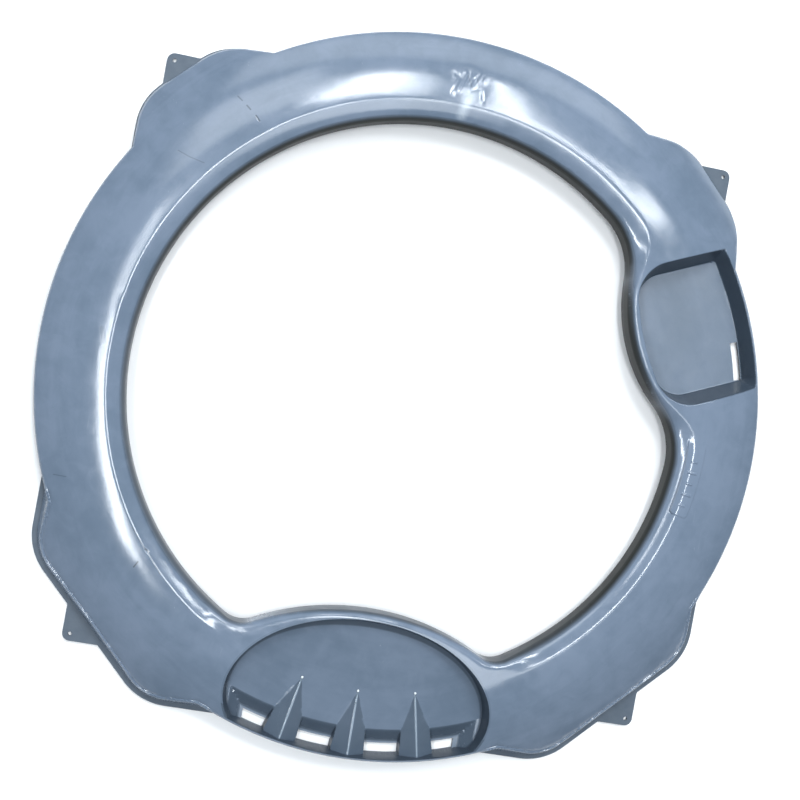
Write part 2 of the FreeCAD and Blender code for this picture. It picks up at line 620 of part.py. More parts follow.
# ----------------------------------------------------------------------------
# checks, then export
# ----------------------------------------------------------------------------
bad = [(o.Name, list(o.State)) for o in doc.Objects if any(s in ("Invalid", "Error") for s in o.State)]
if bad:
    raise RuntimeError("failed objects: %s" % bad)
shape = finished.Shape
if shape.isNull() or not shape.isValid():
    raise RuntimeError("tub_ring: null or invalid shape")
solids = shape.Solids
print("solids", len(solids), [round(s.Volume) for s in solids], "volume cm3", round(shape.Volume / 1000, 1))
bb = shape.BoundBox
print("box", [round(v, 2) for v in (bb.XMin, bb.XMax, bb.YMin, bb.YMax, bb.ZMin, bb.ZMax)])
if len(solids) != 1:
    raise RuntimeError("tub_ring: expected one solid, got %d" % len(solids))
os.makedirs("parts", exist_ok=True)
solid = solids[0]
solid.exportStep("parts/tub_ring.step")
print("written", os.path.getsize("parts/tub_ring.step"))
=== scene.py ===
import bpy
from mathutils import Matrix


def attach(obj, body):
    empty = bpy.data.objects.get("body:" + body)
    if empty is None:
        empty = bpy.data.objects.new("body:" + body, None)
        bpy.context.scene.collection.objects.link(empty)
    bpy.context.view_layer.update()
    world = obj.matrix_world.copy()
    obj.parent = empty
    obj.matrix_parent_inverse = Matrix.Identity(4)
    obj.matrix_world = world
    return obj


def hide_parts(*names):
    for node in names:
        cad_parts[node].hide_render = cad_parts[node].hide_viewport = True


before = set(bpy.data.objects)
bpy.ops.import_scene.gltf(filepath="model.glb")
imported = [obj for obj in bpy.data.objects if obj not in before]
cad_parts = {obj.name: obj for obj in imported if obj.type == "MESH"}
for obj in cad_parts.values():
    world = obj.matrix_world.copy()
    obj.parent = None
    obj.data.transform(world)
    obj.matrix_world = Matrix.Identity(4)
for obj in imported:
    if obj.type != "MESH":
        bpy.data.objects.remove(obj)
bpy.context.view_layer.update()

import bpy
import bmesh
import math
import numpy as np
from mathutils import Vector, Matrix, kdtree
from mathutils.geometry import delaunay_2d_cdt

# ---------------------------------------------------------------------------
# The tub ring as one moulded shell. All lengths below are millimetres in the
# part's own frame; they become metres when the mesh is made.
# ---------------------------------------------------------------------------
TAU = 2.0 * math.pi
RING, WALL, BORE = 280.0, 2.5, 212.3
BORE_X, BORE_Y = -0.5, -1.3
SKIRT_BASE = 12.0
CREASE_R, CREASE_Z, LIP_Z = 226.5, 35.0, 30.4
CROWN_R = 130.0
CROWN_CX = CREASE_R - 0.04 * CROWN_R
CROWN_CZ = CREASE_Z - math.sqrt(CROWN_R ** 2 - (CREASE_R - CROWN_CX) ** 2)
LIP_ROUND = 5.5
FRONT_LEAN, BACK_LEAN = 0.34, 0.03
FLANGE_T, FRONT_FLANGE, BACK_FLANGE = 2.6, 2.9, 1.6
N = 1440
TH = np.arange(N) * TAU / N


def smooth(a, b, x):
    t = np.clip((x - a) / (b - a), 0.0, 1.0)
    return t * t * (3.0 - 2.0 * t)


def ramp(q, e=0.14):
    """0 to 1, straight in the middle, rounded over e at both ends."""
    q = np.clip(q, 0.0, 1.0)
    k = 1.0 / (1.0 - e)
    lo = k * q * q / (2 * e)
    hi = 1.0 - k * (1 - q) ** 2 / (2 * e)
    mid = k * (q - e / 2)
    return np.where(q < e, lo, np.where(q > 1 - e, hi, mid))


def crown(r):
    return CROWN_CZ + np.sqrt(np.maximum(CROWN_R ** 2 - (r - CROWN_CX) ** 2, 1.0))


# ---- plan outlines, as radius against angle -------------------------------
def circle_hit(th, cx, cy, R, far):
    L, phi = math.hypot(cx, cy), math.atan2(cy, cx)
    s, c = L * np.sin(th - phi), L * np.cos(th - phi)
    d = R * R - s * s
    q = np.sqrt(np.maximum(d, 0.0))
    r = c + q if far else c - q
    return np.where((d >= 0) & (r > 0), r, np.inf)


def wrap(a):
    return (a + math.pi) % TAU - math.pi


def bulge(th, axis, L, R, blend):
    """Radius of the opening beside one bulge of plan radius R centred L out."""
    cx, cy = L * math.cos(axis), L * math.sin(axis)
    dc = BORE - blend
    cosd = (dc * dc + L * L - (R + blend) ** 2) / (2 * dc * L)
    dl = math.acos(cosd)
    out = np.full(np.shape(th), BORE)
    for sgn in (-1, 1):
        fx, fy = dc * math.cos(axis + sgn * dl), dc * math.sin(axis + sgn * dl)
        k = blend / (R + blend)
        tx, ty = fx + (cx - fx) * k, fy + (cy - fy) * k
        at = wrap(math.atan2(ty, tx) - axis) * sgn
        rel = wrap(th - axis) * sgn
        m = (rel <= dl) & (rel >= at)
        out = np.where(m, circle_hit(th, fx, fy, blend, True), out)
        m = (rel < at) & (rel >= 0)
        out = np.where(m, circle_hit(th, cx, cy, R, False), out)
    return out


POCKET_AXIS = math.radians(23.8)


def r_in(th):
    """Outline of the opening; its circle is centred a little off the ring's centre."""
    f = np.arange(5 * N) * TAU / (5 * N)
    r = np.full(f.size, np.inf)
    for cx, cy, R, blend in ((305.0 * math.cos(POCKET_AXIS), 305.0 * math.sin(POCKET_AXIS), 127.0, 56.5),
                             (0.0, -360.0, 196.0, 22.0)):
        dx, dy = cx - BORE_X, cy - BORE_Y
        r = np.minimum(r, bulge(f, math.atan2(dy, dx), math.hypot(dx, dy), R, blend))
    x, y = BORE_X + r * np.cos(f), BORE_Y + r * np.sin(f)
    rr, tt = np.hypot(x, y), np.arctan2(y, x) % TAU
    k = np.argsort(tt)
    rr, tt = rr[k], tt[k]
    return np.interp(th % TAU, np.r_[tt[-3:] - TAU, tt, tt[:3] + TAU], np.r_[rr[-3:], rr, rr[:3]])


LOW = (259.0, 261.5, 297.6)
HIGH = (238.8, 238.4, 301.0)
LOBE_R = 45.0


def lean_of(th):
    return np.where(np.sin(th) < 0, FRONT_LEAN, BACK_LEAN)


def rounded_corner(th, planes, R):
    r = np.full(np.shape(th), np.inf)
    for d, phi in planes:
        c = np.cos(th - phi)
        r = np.minimum(r, np.where(c > 0.05, d / np.maximum(c, 0.05), np.inf))
    for (d0, p0), (d1, p1) in zip(planes[:-1], planes[1:]):
        A = np.array([[math.cos(p0), math.sin(p0)], [math.cos(p1), math.sin(p1)]])
        cx, cy = np.linalg.solve(A, np.array([d0 - R, d1 - R]))
        t0 = math.atan2(cy + R * math.sin(p0), cx + R * math.cos(p0))
        t1 = math.atan2(cy + R * math.sin(p1), cx + R * math.cos(p1))
        span = wrap(t1 - t0)
        m = (wrap(th - t0) >= 0) & (wrap(th - t0) <= span)
        r = np.where(m, circle_hit(th, cx, cy, R, True), r)
    return r


def r_lobe(th, inset):
    """Radius of the lobe outline; inset may be an array (same shape as th)."""
    out = np.zeros(np.shape(th))
    inset = np.broadcast_to(inset, np.shape(th))
    for q, (side, front, cham) in ((0, HIGH), (1, HIGH), (2, LOW), (3, LOW)):
        a0 = q * math.pi / 2
        d = (side, cham, front) if q in (0, 2) else (front, cham, side)
        m = (th % TAU >= a0) & (th % TAU < a0 + math.pi / 2)
        if not np.any(m):
            continue
        # the fillet needs plain numbers, so a few inset levels are interpolated
        levels = np.linspace(-4.0, 16.0, 11)
        tab = [rounded_corner(th[m], [(dd - L, a0 + k * math.pi / 4) for k, dd in enumerate(d)],
                              LOBE_R - L) for L in levels]
        tab = np.array(tab)
        t = np.clip((inset[m] - levels[0]) / (levels[1] - levels[0]), 0, len(levels) - 1.001)
        i = t.astype(int)
        f = t - i
        j = np.arange(i.size)
        out[m] = tab[i, j] * (1 - f) + tab[i + 1, j] * f
    return out


def r_edge(th):
    """Where crown and skirt meet."""
    r = np.full(np.shape(th), 288.0)
    for _ in range(6):
        r = np.maximum(r_lobe(th, lean_of(th) * crown(r)), RING)
    return r


def r_foot(th):
    return np.maximum(r_lobe(th, lean_of(th) * FLANGE_T), RING)


def r_tab(th):
    R, half = 6.0, 226.2
    q = (th % (math.pi / 2))
    return rounded_corner(q, [(half, 0.0), (half, math.pi / 2)], R)


def r_flange(th):
    a = np.maximum(r_lobe(th, -np.where(np.sin(th) < 0, FRONT_FLANGE, BACK_FLANGE)), RING)
    return np.maximum(a, r_tab(th))


def r_hollow_top(th):
    r = np.full(np.shape(th), 285.0)
    for _ in range(6):
        r = np.maximum(r_lobe(th, WALL + lean_of(th) * (crown(r) - 2.6)), RING - WALL)
    return r


def r_hollow_foot(th):
    return np.maximum(r_lobe(th, np.full(np.shape(th), WALL)), RING - WALL)


R_IN, R_EDGE, R_FOOT, R_FL = r_in(TH), r_edge(TH), r_foot(TH), r_flange(TH)
R_HT, R_HF = r_hollow_top(TH), r_hollow_foot(TH)


def lookup(tab, th):
    x = (th % TAU) * N / TAU
    i = np.floor(x).astype(int)
    f = x - i
    return tab[i % N] * (1 - f) + tab[(i + 1) % N] * f


def slope_cos(tab):
    d = (np.roll(tab, -1) - np.roll(tab, 1)) / (2 * TAU / N)
    return 1.0 / np.sqrt(1.0 + (d / tab) ** 2)


COS_IN, COS_EDGE = slope_cos(R_IN), slope_cos(R_EDGE)
LOBED = smooth(0.2, 4.2, R_FOOT - RING)


# ---- dispenser tray --------------------------------------------------------
TRAY_C, TRAY_A, TRAY_B = (2.0, -237.0), 102.3, 67.0
STEP_R, FOOT_R, GUTTER = 256.0, 268.5, 3.0
FLOOR_HI, FLOOR_LO = 25.0, 12.5
FALL = (FLOOR_HI - FLOOR_LO) / 86.0
END_X, END_RISE, END_RUN = 86.0, 9.6, 11.0
RIBS = [math.radians(a) for a in (259.3, 270.5, 281.7)]
APEX_R, RIDGE_A, RIDGE_W, EAVE_W, HALF_W = 228.0, 17.0, 18.5, 10.0, 13.4
WALL_IN = 277.7


def oval_distance(x, y, grow):
    a, b = TRAY_A + grow, TRAY_B + grow
    X, Y = x - TRAY_C[0], y - TRAY_C[1]
    rho = np.sqrt((X / a) ** 2 + (Y / b) ** 2) + 1e-9
    g = np.sqrt((X / a ** 2) ** 2 + (Y / b ** 2) ** 2) / rho + 1e-9
    return (1.0 - rho) / g


def floor_height(r, x):
    z = FLOOR_LO + (STEP_R - r) * FALL
    q = (r - STEP_R) / (FOOT_R - STEP_R)
    zr = FLOOR_LO + (GUTTER - FLOOR_LO) * ramp(q, 0.14)
    # beside the outermost slots the lower floor rises to the ends of the tray
    e = (np.abs(x - TRAY_C[0]) - END_X) / END_RUN
    zr = np.maximum(zr, GUTTER + END_RISE * ramp(e, 0.12))
    return np.where(r < STEP_R, z, np.minimum(zr, FLOOR_LO))


def rib_half(a):
    return np.where(a < STEP_R, (a - APEX_R) / (STEP_R - APEX_R) * 11.1,
                    11.1 + (a - STEP_R) / (278.3 - STEP_R) * (HALF_W - 11.1))


def rib_height(r_floor, x, y, off):
    """Height of the roof ribs, or -inf where there is none."""
    z = np.full(np.shape(x), -1e3)
    for ang in RIBS:
        a = x * math.cos(ang) + y * math.sin(ang)
        b = -x * math.sin(ang) + y * math.cos(ang)
        aa = a - 3.0 * off / WALL * 2.2
        h = np.maximum(rib_half(aa) - off, 1e-3)
        ridge = RIDGE_A + (RIDGE_W - RIDGE_A) * (a - APEX_R) / 50.0 - off
        fl = FLOOR_LO + (STEP_R - a) * FALL - off
        eave = np.where(a < STEP_R, fl, FLOOR_LO + (a - STEP_R) / 22.3 * (EAVE_W - FLOOR_LO) - off)
        t = np.abs(b) / h
        roof = ridge - (ridge - eave) * t
        # rounded ridge
        roof = roof - 0.35 * np.maximum(0, 1 - np.abs(b) / 1.3) ** 2
        side = eave + (r_floor - eave) * np.clip((np.abs(b) - h) / 0.7, 0, 1)
        zz = np.where(t <= 1.0, roof, side)
        live = (aa > APEX_R) & (np.abs(b) < h + 0.7)
        z = np.where(live, np.maximum(z, zz), z)
        if off == 0.0:
            # small round pip at the inner end of the ridge
            d2 = ((a - APEX_R + 0.4) / 1.25) ** 2 + (b / 1.25) ** 2
            z = np.where(d2 < 1, np.maximum(z, r_floor + 0.75 * np.sqrt(np.maximum(1 - d2, 0))), z)
    return z


# ---- bleach pocket ---------------------------------------------------------
CA, SA = math.cos(POCKET_AXIS), math.sin(POCKET_AXIS)


def arc_points(cx, cy, R, a0, a1, n):
    t = np.linspace(a0, a1, n)
    return np.c_[cx + R * np.cos(t), cy + R * np.sin(t)]


def pocket_outline(inner, half, outer_r, corner, bow, small):
    """Closed outline in (u, v): bowed inner side, two large inner corners, straight
    sides and an outer side that follows the ring."""
    pts = []
    # outer side, from -v to +v, on the circle of outer_r
    vo = half - small
    t = np.linspace(-vo, vo, 61)
    pts.append(np.c_[np.sqrt(outer_r ** 2 - t ** 2), t])
    ue = math.sqrt(outer_r ** 2 - half ** 2)
    pts.append(arc_points(ue - small + 0.6, half - small, small, math.radians(10), math.pi / 2, 7))
    pts.append(np.c_[np.linspace(ue - small - 1, inner + corner + bow, 40)[1:], np.full(39, half)])
    pts.append(arc_points(inner + corner + bow, half - corner, corner, math.pi / 2, math.pi, 30)[1:])
    t = np.linspace(half - corner, -(half - corner), 60)[1:-1]
    pts.append(np.c_[inner + bow * (t / (half - corner)) ** 2, t])
    pts.append(arc_points(inner + corner + bow, -(half - corner), corner, math.pi, 1.5 * math.pi, 30))
    pts.append(np.c_[np.linspace(inner + corner + bow, ue - small - 1, 40)[1:], np.full(39, -half)])
    pts.append(arc_points(ue - small + 0.6, -half + small, small, -math.pi / 2, -math.radians(10), 7))
    return np.concatenate(pts)


MOUTH = pocket_outline(186.3, 56.8, 277.6, 30.0, 2.2, 2.0)
FLOOR = pocket_outline(196.0, 48.5, 272.0, 21.0, 2.0, 2.0)


def polygon_distance(px, py, poly, chunk=4000):
    """Signed distance, positive inside."""
    A = poly
    B = np.roll(poly, -1, axis=0)
    D = B - A
    L2 = (D ** 2).sum(1) + 1e-12
    out = np.empty(px.size)
    for s in range(0, px.size, chunk):
        x, y = px[s:s + chunk, None], py[s:s + chunk, None]
        t = np.clip(((x - A[:, 0]) * D[:, 0] + (y - A[:, 1]) * D[:, 1]) / L2, 0, 1)
        dx, dy = x - A[:, 0] - t * D[:, 0], y - A[:, 1] - t * D[:, 1]
        d = np.sqrt((dx * dx + dy * dy).min(1))
        up = (A[:, 1] <= y) & (B[:, 1] > y)
        dn = (A[:, 1] > y) & (B[:, 1] <= y)
        cr = D[:, 0] * (y - A[:, 1]) - D[:, 1] * (x - A[:, 0])
        w = (up & (cr > 0)).sum(1) - (dn & (cr < 0)).sum(1)
        out[s:s + chunk] = np.where(w != 0, d, -d)
    return out


def near_radius(poly):
    """Smallest radius of a closed outline at every angle."""
    A, B = poly, np.roll(poly, -1, axis=0)
    out = np.full(N, 1e3)
    for i, t in enumerate(TH):
        c, s = math.cos(t), math.sin(t)
        ca, cb = c * A[:, 1] - s * A[:, 0], c * B[:, 1] - s * B[:, 0]
        m = (ca * cb <= 0) & (np.abs(ca - cb) > 1e-9)
        if not np.any(m):
            continue
        f = ca[m] / (ca[m] - cb[m])
        along = (A[m] + (B[m] - A[m]) * f[:, None]) @ np.array([c, s])
        along = along[along > 0]
        if along.size:
            out[i] = along.min()
    return out


def grown(poly, d):
    t = np.roll(poly, -1, axis=0) - np.roll(poly, 1, axis=0)
    t /= np.linalg.norm(t, axis=1)[:, None] + 1e-12
    return poly + np.c_[t[:, 1], -t[:, 0]] * d


def turned(poly):
    return np.c_[poly[:, 0] * CA - poly[:, 1] * SA, poly[:, 0] * SA + poly[:, 1] * CA]


# the crease follows the ring and, at the two bulges, the rims of tray and pocket
_t = np.linspace(0, TAU, 400, endpoint=False)
_oval = np.c_[TRAY_C[0] + (TRAY_A + 3.0) * np.cos(_t), TRAY_C[1] + (TRAY_B + 3.0) * np.sin(_t)]
R_C = np.minimum(np.minimum(near_radius(turned(grown(MOUTH, 3.7))), near_radius(_oval)), CREASE_R)
for _k in range(40):
    R_C = np.minimum(R_C, np.minimum(np.roll(R_C, 1), np.roll(R_C, -1)) + 1.1)
_g = np.exp(-0.5 * (np.arange(-24, 25) / 8.0) ** 2)
_g /= _g.sum()
R_C = np.convolve(np.r_[R_C[-24:], R_C, R_C[:24]], _g, "valid")
WIDTH_C = R_C - R_IN
# the band between crease and lip fades out at the tray: the strip there is plain
_deg = np.degrees(TH)
BAND = 1.0 - smooth(233.0, 242.0, _deg) * (1.0 - smooth(298.0, 308.0, _deg))

# ---- surface height --------------------------------------------------------
PLATE_R0, PLATE_R1 = 220.2, 234.6
PLATE_A0, PLATE_A1 = math.radians(-13.2), math.radians(3.0)


def plain_marks(r, th):
    """Five short raised bars along the plate."""
    z = np.zeros(np.shape(r))
    for k, (deg, half) in enumerate(((-11.0, 2.5), (-8.8, 4.0), (-6.6, 2.5), (-4.4, 4.0), (-2.2, 2.5))):
        s = wrap(th - math.radians(deg)) * 227.4
        d = np.minimum(0.75 - np.abs(s), half - np.abs(r - 227.4))
        z = np.maximum(z, np.clip(0.5 + d / 0.5, 0, 1))
    return z


def dent_shape(x, y):
    """Crinkled dent on the back of the crown, and small marks elsewhere."""
    z = np.zeros(np.shape(x))
    for (cx, cy, sx, sy, rot, amp) in DENTS:
        c, s = math.cos(rot), math.sin(rot)
        u = ((x - cx) * c + (y - cy) * s) / sx
        v = (-(x - cx) * s + (y - cy) * c) / sy
        z += amp * np.exp(-(u * u + v * v))
    for (x0, y0, x1, y1, w, amp) in CREASES:
        bx, by = x1 - x0, y1 - y0
        h = np.clip(((x - x0) * bx + (y - y0) * by) / (bx * bx + by * by), 0, 1)
        d = np.hypot(x - x0 - h * bx, y - y0 - h * by) / w
        z += amp * np.exp(-d * d) * np.sin(math.pi * np.clip(0.12 + 0.76 * h, 0, 1))
    return z


DENTS = [(1.0, 244.0, 13.0, 9.0, -0.5, -0.55), (-9.0, 247.5, 3.4, 2.0, -0.7, -0.28),
         (10.5, 247.0, 2.6, 4.0, -0.2, 0.22), (3.0, 252.5, 7.0, 2.6, -0.35, -0.16),
         (-222.2, 31.5, 6.0, 9.0, 0.1, -0.20), (-221.0, 44.0, 3.0, 6.0, 0.0, 0.14),
         (-173.7, -144.6, 1.0, 1.5, 0.8, -0.45), (196.0, 191.5, 4.5, 6.5, 0.7, -0.10)]
CREASES = [(-12.2, 232.5, -6.8, 248.6, 1.0, 0.20), (-8.4, 233.5, -3.9, 250.4, 0.8, -0.20),
           (-6.2, 235.8, -2.0, 250.8, 0.8, 0.24), (-2.7, 240.4, 0.3, 251.2, 0.75, -0.26),
           (0.4, 240.6, 2.6, 249.0, 0.7, 0.22), (2.3, 238.8, 6.6, 250.8, 0.75, -0.24),
           (5.7, 241.8, 10.2, 254.6, 0.9, 0.26), (1.8, 237.0, 9.6, 241.2, 0.9, -0.20),
           (10.9, 239.6, 12.9, 230.2, 1.2, -0.18)]


def base_height(x, y, r, th, off):
    ri, rc, wide = lookup(R_IN, th), lookup(R_C, th), lookup(WIDTH_C, th)
    t = np.clip((rc - r) / np.maximum(wide - 2.0, 1.0), 0.0, 1.3)
    drop = lookup(BAND, th) * np.minimum(CREASE_Z - LIP_Z, 0.36 * wide) * (0.7 * t + 0.3 * t * t)
    z = np.where(r < CREASE_R, CREASE_Z, crown(r)) - drop
    # the ridge itself is a little rounded
    crisp = np.clip(13.2 / wide, 0.0, 1.0)
    z = z - 0.11 * crisp * lookup(BAND, th) * np.maximum(0, 1 - np.abs(r - rc) / 1.1) ** 2
    return z - off


def surface(x, y, off=0.0):
    """Height of the top skin (off 0) or of the skin under it (off = wall)."""
    r, th = np.hypot(x, y), np.arctan2(y, x)
    vertical = off * 1.04
    z = base_height(x, y, r, th, vertical)
    if off == 0.0:
        # slight unevenness of a large thin moulding
        a = th
        z = z + 0.10 * np.sin(7 * a + 0.8 * np.sin(3 * a)) * smooth(216, 240, r) * (1 - smooth(262, 279, r))
        z = z + 0.05 * np.sin(23 * a + r * 0.09) * smooth(216, 236, r) * (1 - smooth(262, 279, r))
        z = z + dent_shape(x, y)
        # label plate
        pr = np.minimum(r - PLATE_R0, PLATE_R1 - r)
        aa = wrap(th)
        pa = (aa - PLATE_A0) * 227.0
        corner = np.hypot(np.maximum(3.0 - pr, 0), np.maximum(3.0 - pa, 0))
        dpl = np.minimum(np.minimum(pr, pa), 3.0 - corner)
        fade = 1.0 - smooth(math.radians(-1.0), PLATE_A1, aa)
        up = np.clip(0.5 + dpl / 0.6, 0, 1) * fade
        # the plate is flat across, so it fills the falling band under it
        flat = CREASE_Z + 0.30 - 0.055 * (r - 220.0)
        z = np.where(up > 0, z + up * (np.maximum(flat, z + 0.45) - z), z)
        z = z + 0.6 * plain_marks(r, th) * (up > 0.9)
        # bead and the line inside it, on the edge of the front lobes
        ro, co = lookup(R_EDGE, th), lookup(COS_EDGE, th)
        d = (ro - r) * co
        lob = lookup(LOBED, th)
        front = np.where(y < 0, smooth(60.0, 130.0, -y), 0.0)
        m = lob * front
        bead = 0.9 * np.sqrt(np.maximum(0.0, 1 - ((d - 0.85) / 0.85) ** 2))
        z = np.where((d >= 0) & (d <= 1.7), z + m * bead, z)
        z = z - m * 0.55 * np.maximum(0.0, 1 - np.abs(d - 2.4) / 0.75) ** 2 * (d > 1.6)
        # rounded outer edge where there is no bead
        R = 1.8
        k = np.clip(R - d, 0, R)
        z = z - (1 - m) * (R - np.sqrt(R * R - k * k))
        # rolled lip
        di = (r - lookup(R_IN, th)) * lookup(COS_IN, th)
        k = np.clip(LIP_ROUND - di, 0, LIP_ROUND)
        z = z - (LIP_ROUND - np.sqrt(LIP_ROUND ** 2 - k * k))
    # tray
    near = (y < -160) & (np.abs(x - TRAY_C[0]) < 112)
    if np.any(near):
        xx, yy, rr = x[near], y[near], r[near]
        de = oval_distance(xx, yy, off)
        dw = WALL_IN - rr if off == 0.0 else np.full(rr.shape, 99.0)
        q = np.minimum(de / 2.4, dw / 0.55)
        fl = floor_height(rr, xx) - off
        fl = np.maximum(fl, rib_height(fl, xx, yy, off))
        s = ramp(q, 0.22)
        zz = z[near]
        lower = np.minimum(fl, zz)
        z[near] = zz + (lower - zz) * s
    # pocket
    u, v = x * CA + y * SA, -x * SA + y * CA
    near = (u > 176) & (np.abs(v) < 66)
    if np.any(near):
        uu, vv = u[near], v[near]
        dm = polygon_distance(uu, vv, MOUTH) + off
        df = -polygon_distance(uu, vv, FLOOR) - off
        if off:
            rr = r[near]
            dm = np.where(rr > 268, 9.0, dm)
            df = np.where((rr > 262) & (np.abs(vv) < 50), -1.0, df)
        q = np.where(dm <= 0, 0.0, dm / np.maximum(dm + np.maximum(df, 0), 1e-6))
        s = ramp(q, 0.12)
        zz = z[near]
        z[near] = zz + (np.minimum(5.0 - off, zz) - zz) * s
    return z


# ---------------------------------------------------------------------------
# triangulation of one skin in plan
# ---------------------------------------------------------------------------
def xy(r, th):
    return np.c_[r * np.cos(th), r * np.sin(th)]


def slot_loops():
    """Closed loops of the four drain slots and the pocket notch."""
    loops = []

    def side(ang, sgn, radii):
        out = []
        for rr in radii:
            b = sgn * (float(rib_half(np.array(rr))) + 0.85)
            a = math.sqrt(rr * rr - b * b)
            out.append((a * math.cos(ang) - b * math.sin(ang), a * math.sin(ang) + b * math.cos(ang)))
        return np.array(out)

    def upright(x, radii):
        return np.array([(x, -math.sqrt(rr * rr - x * x)) for rr in radii])

    r0, r1 = 269.6, 277.0
    radii = np.linspace(r0, r1, 7)
    pairs = [(upright(-81.8, radii), side(RIBS[0], -1, radii)),
             (side(RIBS[0], 1, radii), side(RIBS[1], -1, radii)),
             (side(RIBS[1], 1, radii), side(RIBS[2], -1, radii)),
             (side(RIBS[2], 1, radii), upright(84.8, radii))]
    for left, right in pairs:
        a0, a1 = math.atan2(left[0][1], left[0][0]), math.atan2(right[0][1], right[0][0])
        b0, b1 = math.atan2(left[-1][1], left[-1][0]), math.atan2(right[-1][1], right[-1][0])
        n = max(8, int(abs(a1 - a0) * 270 / 1.3))
        inner = xy(r0, np.linspace(a0, a1, n))[1:-1]
        outer = xy(r1, np.linspace(b0, b1, n))[1:-1]
        loops.append(np.concatenate([left[::-1], inner, right, outer[::-1]]))
    a0, a1 = math.radians(13.4), math.radians(19.9)
    t = np.linspace(a0, a1, 24)
    rr = np.linspace(265.8, 271.6, 6)
    loops.append(np.concatenate([xy(265.8, t), xy(rr[1:-1], np.full(4, a1)), xy(271.6, t[::-1]),
                                 xy(rr[::-1][1:-1], np.full(4, a0))]))
    return loops


LOOPS = slot_loops()


def inside_polygon(px, py, poly):
    return polygon_distance(px, py, poly) > 0


def offset_contour(tab, d, step=1):
    """Points d to the inside of a polar outline (positive d = towards larger radius)."""
    p = xy(tab, TH)
    t = np.roll(p, -1, axis=0) - np.roll(p, 1, axis=0)
    t /= np.linalg.norm(t, axis=1)[:, None]
    n = np.c_[t[:, 1], -t[:, 0]]
    return (p + n * d)[::step]


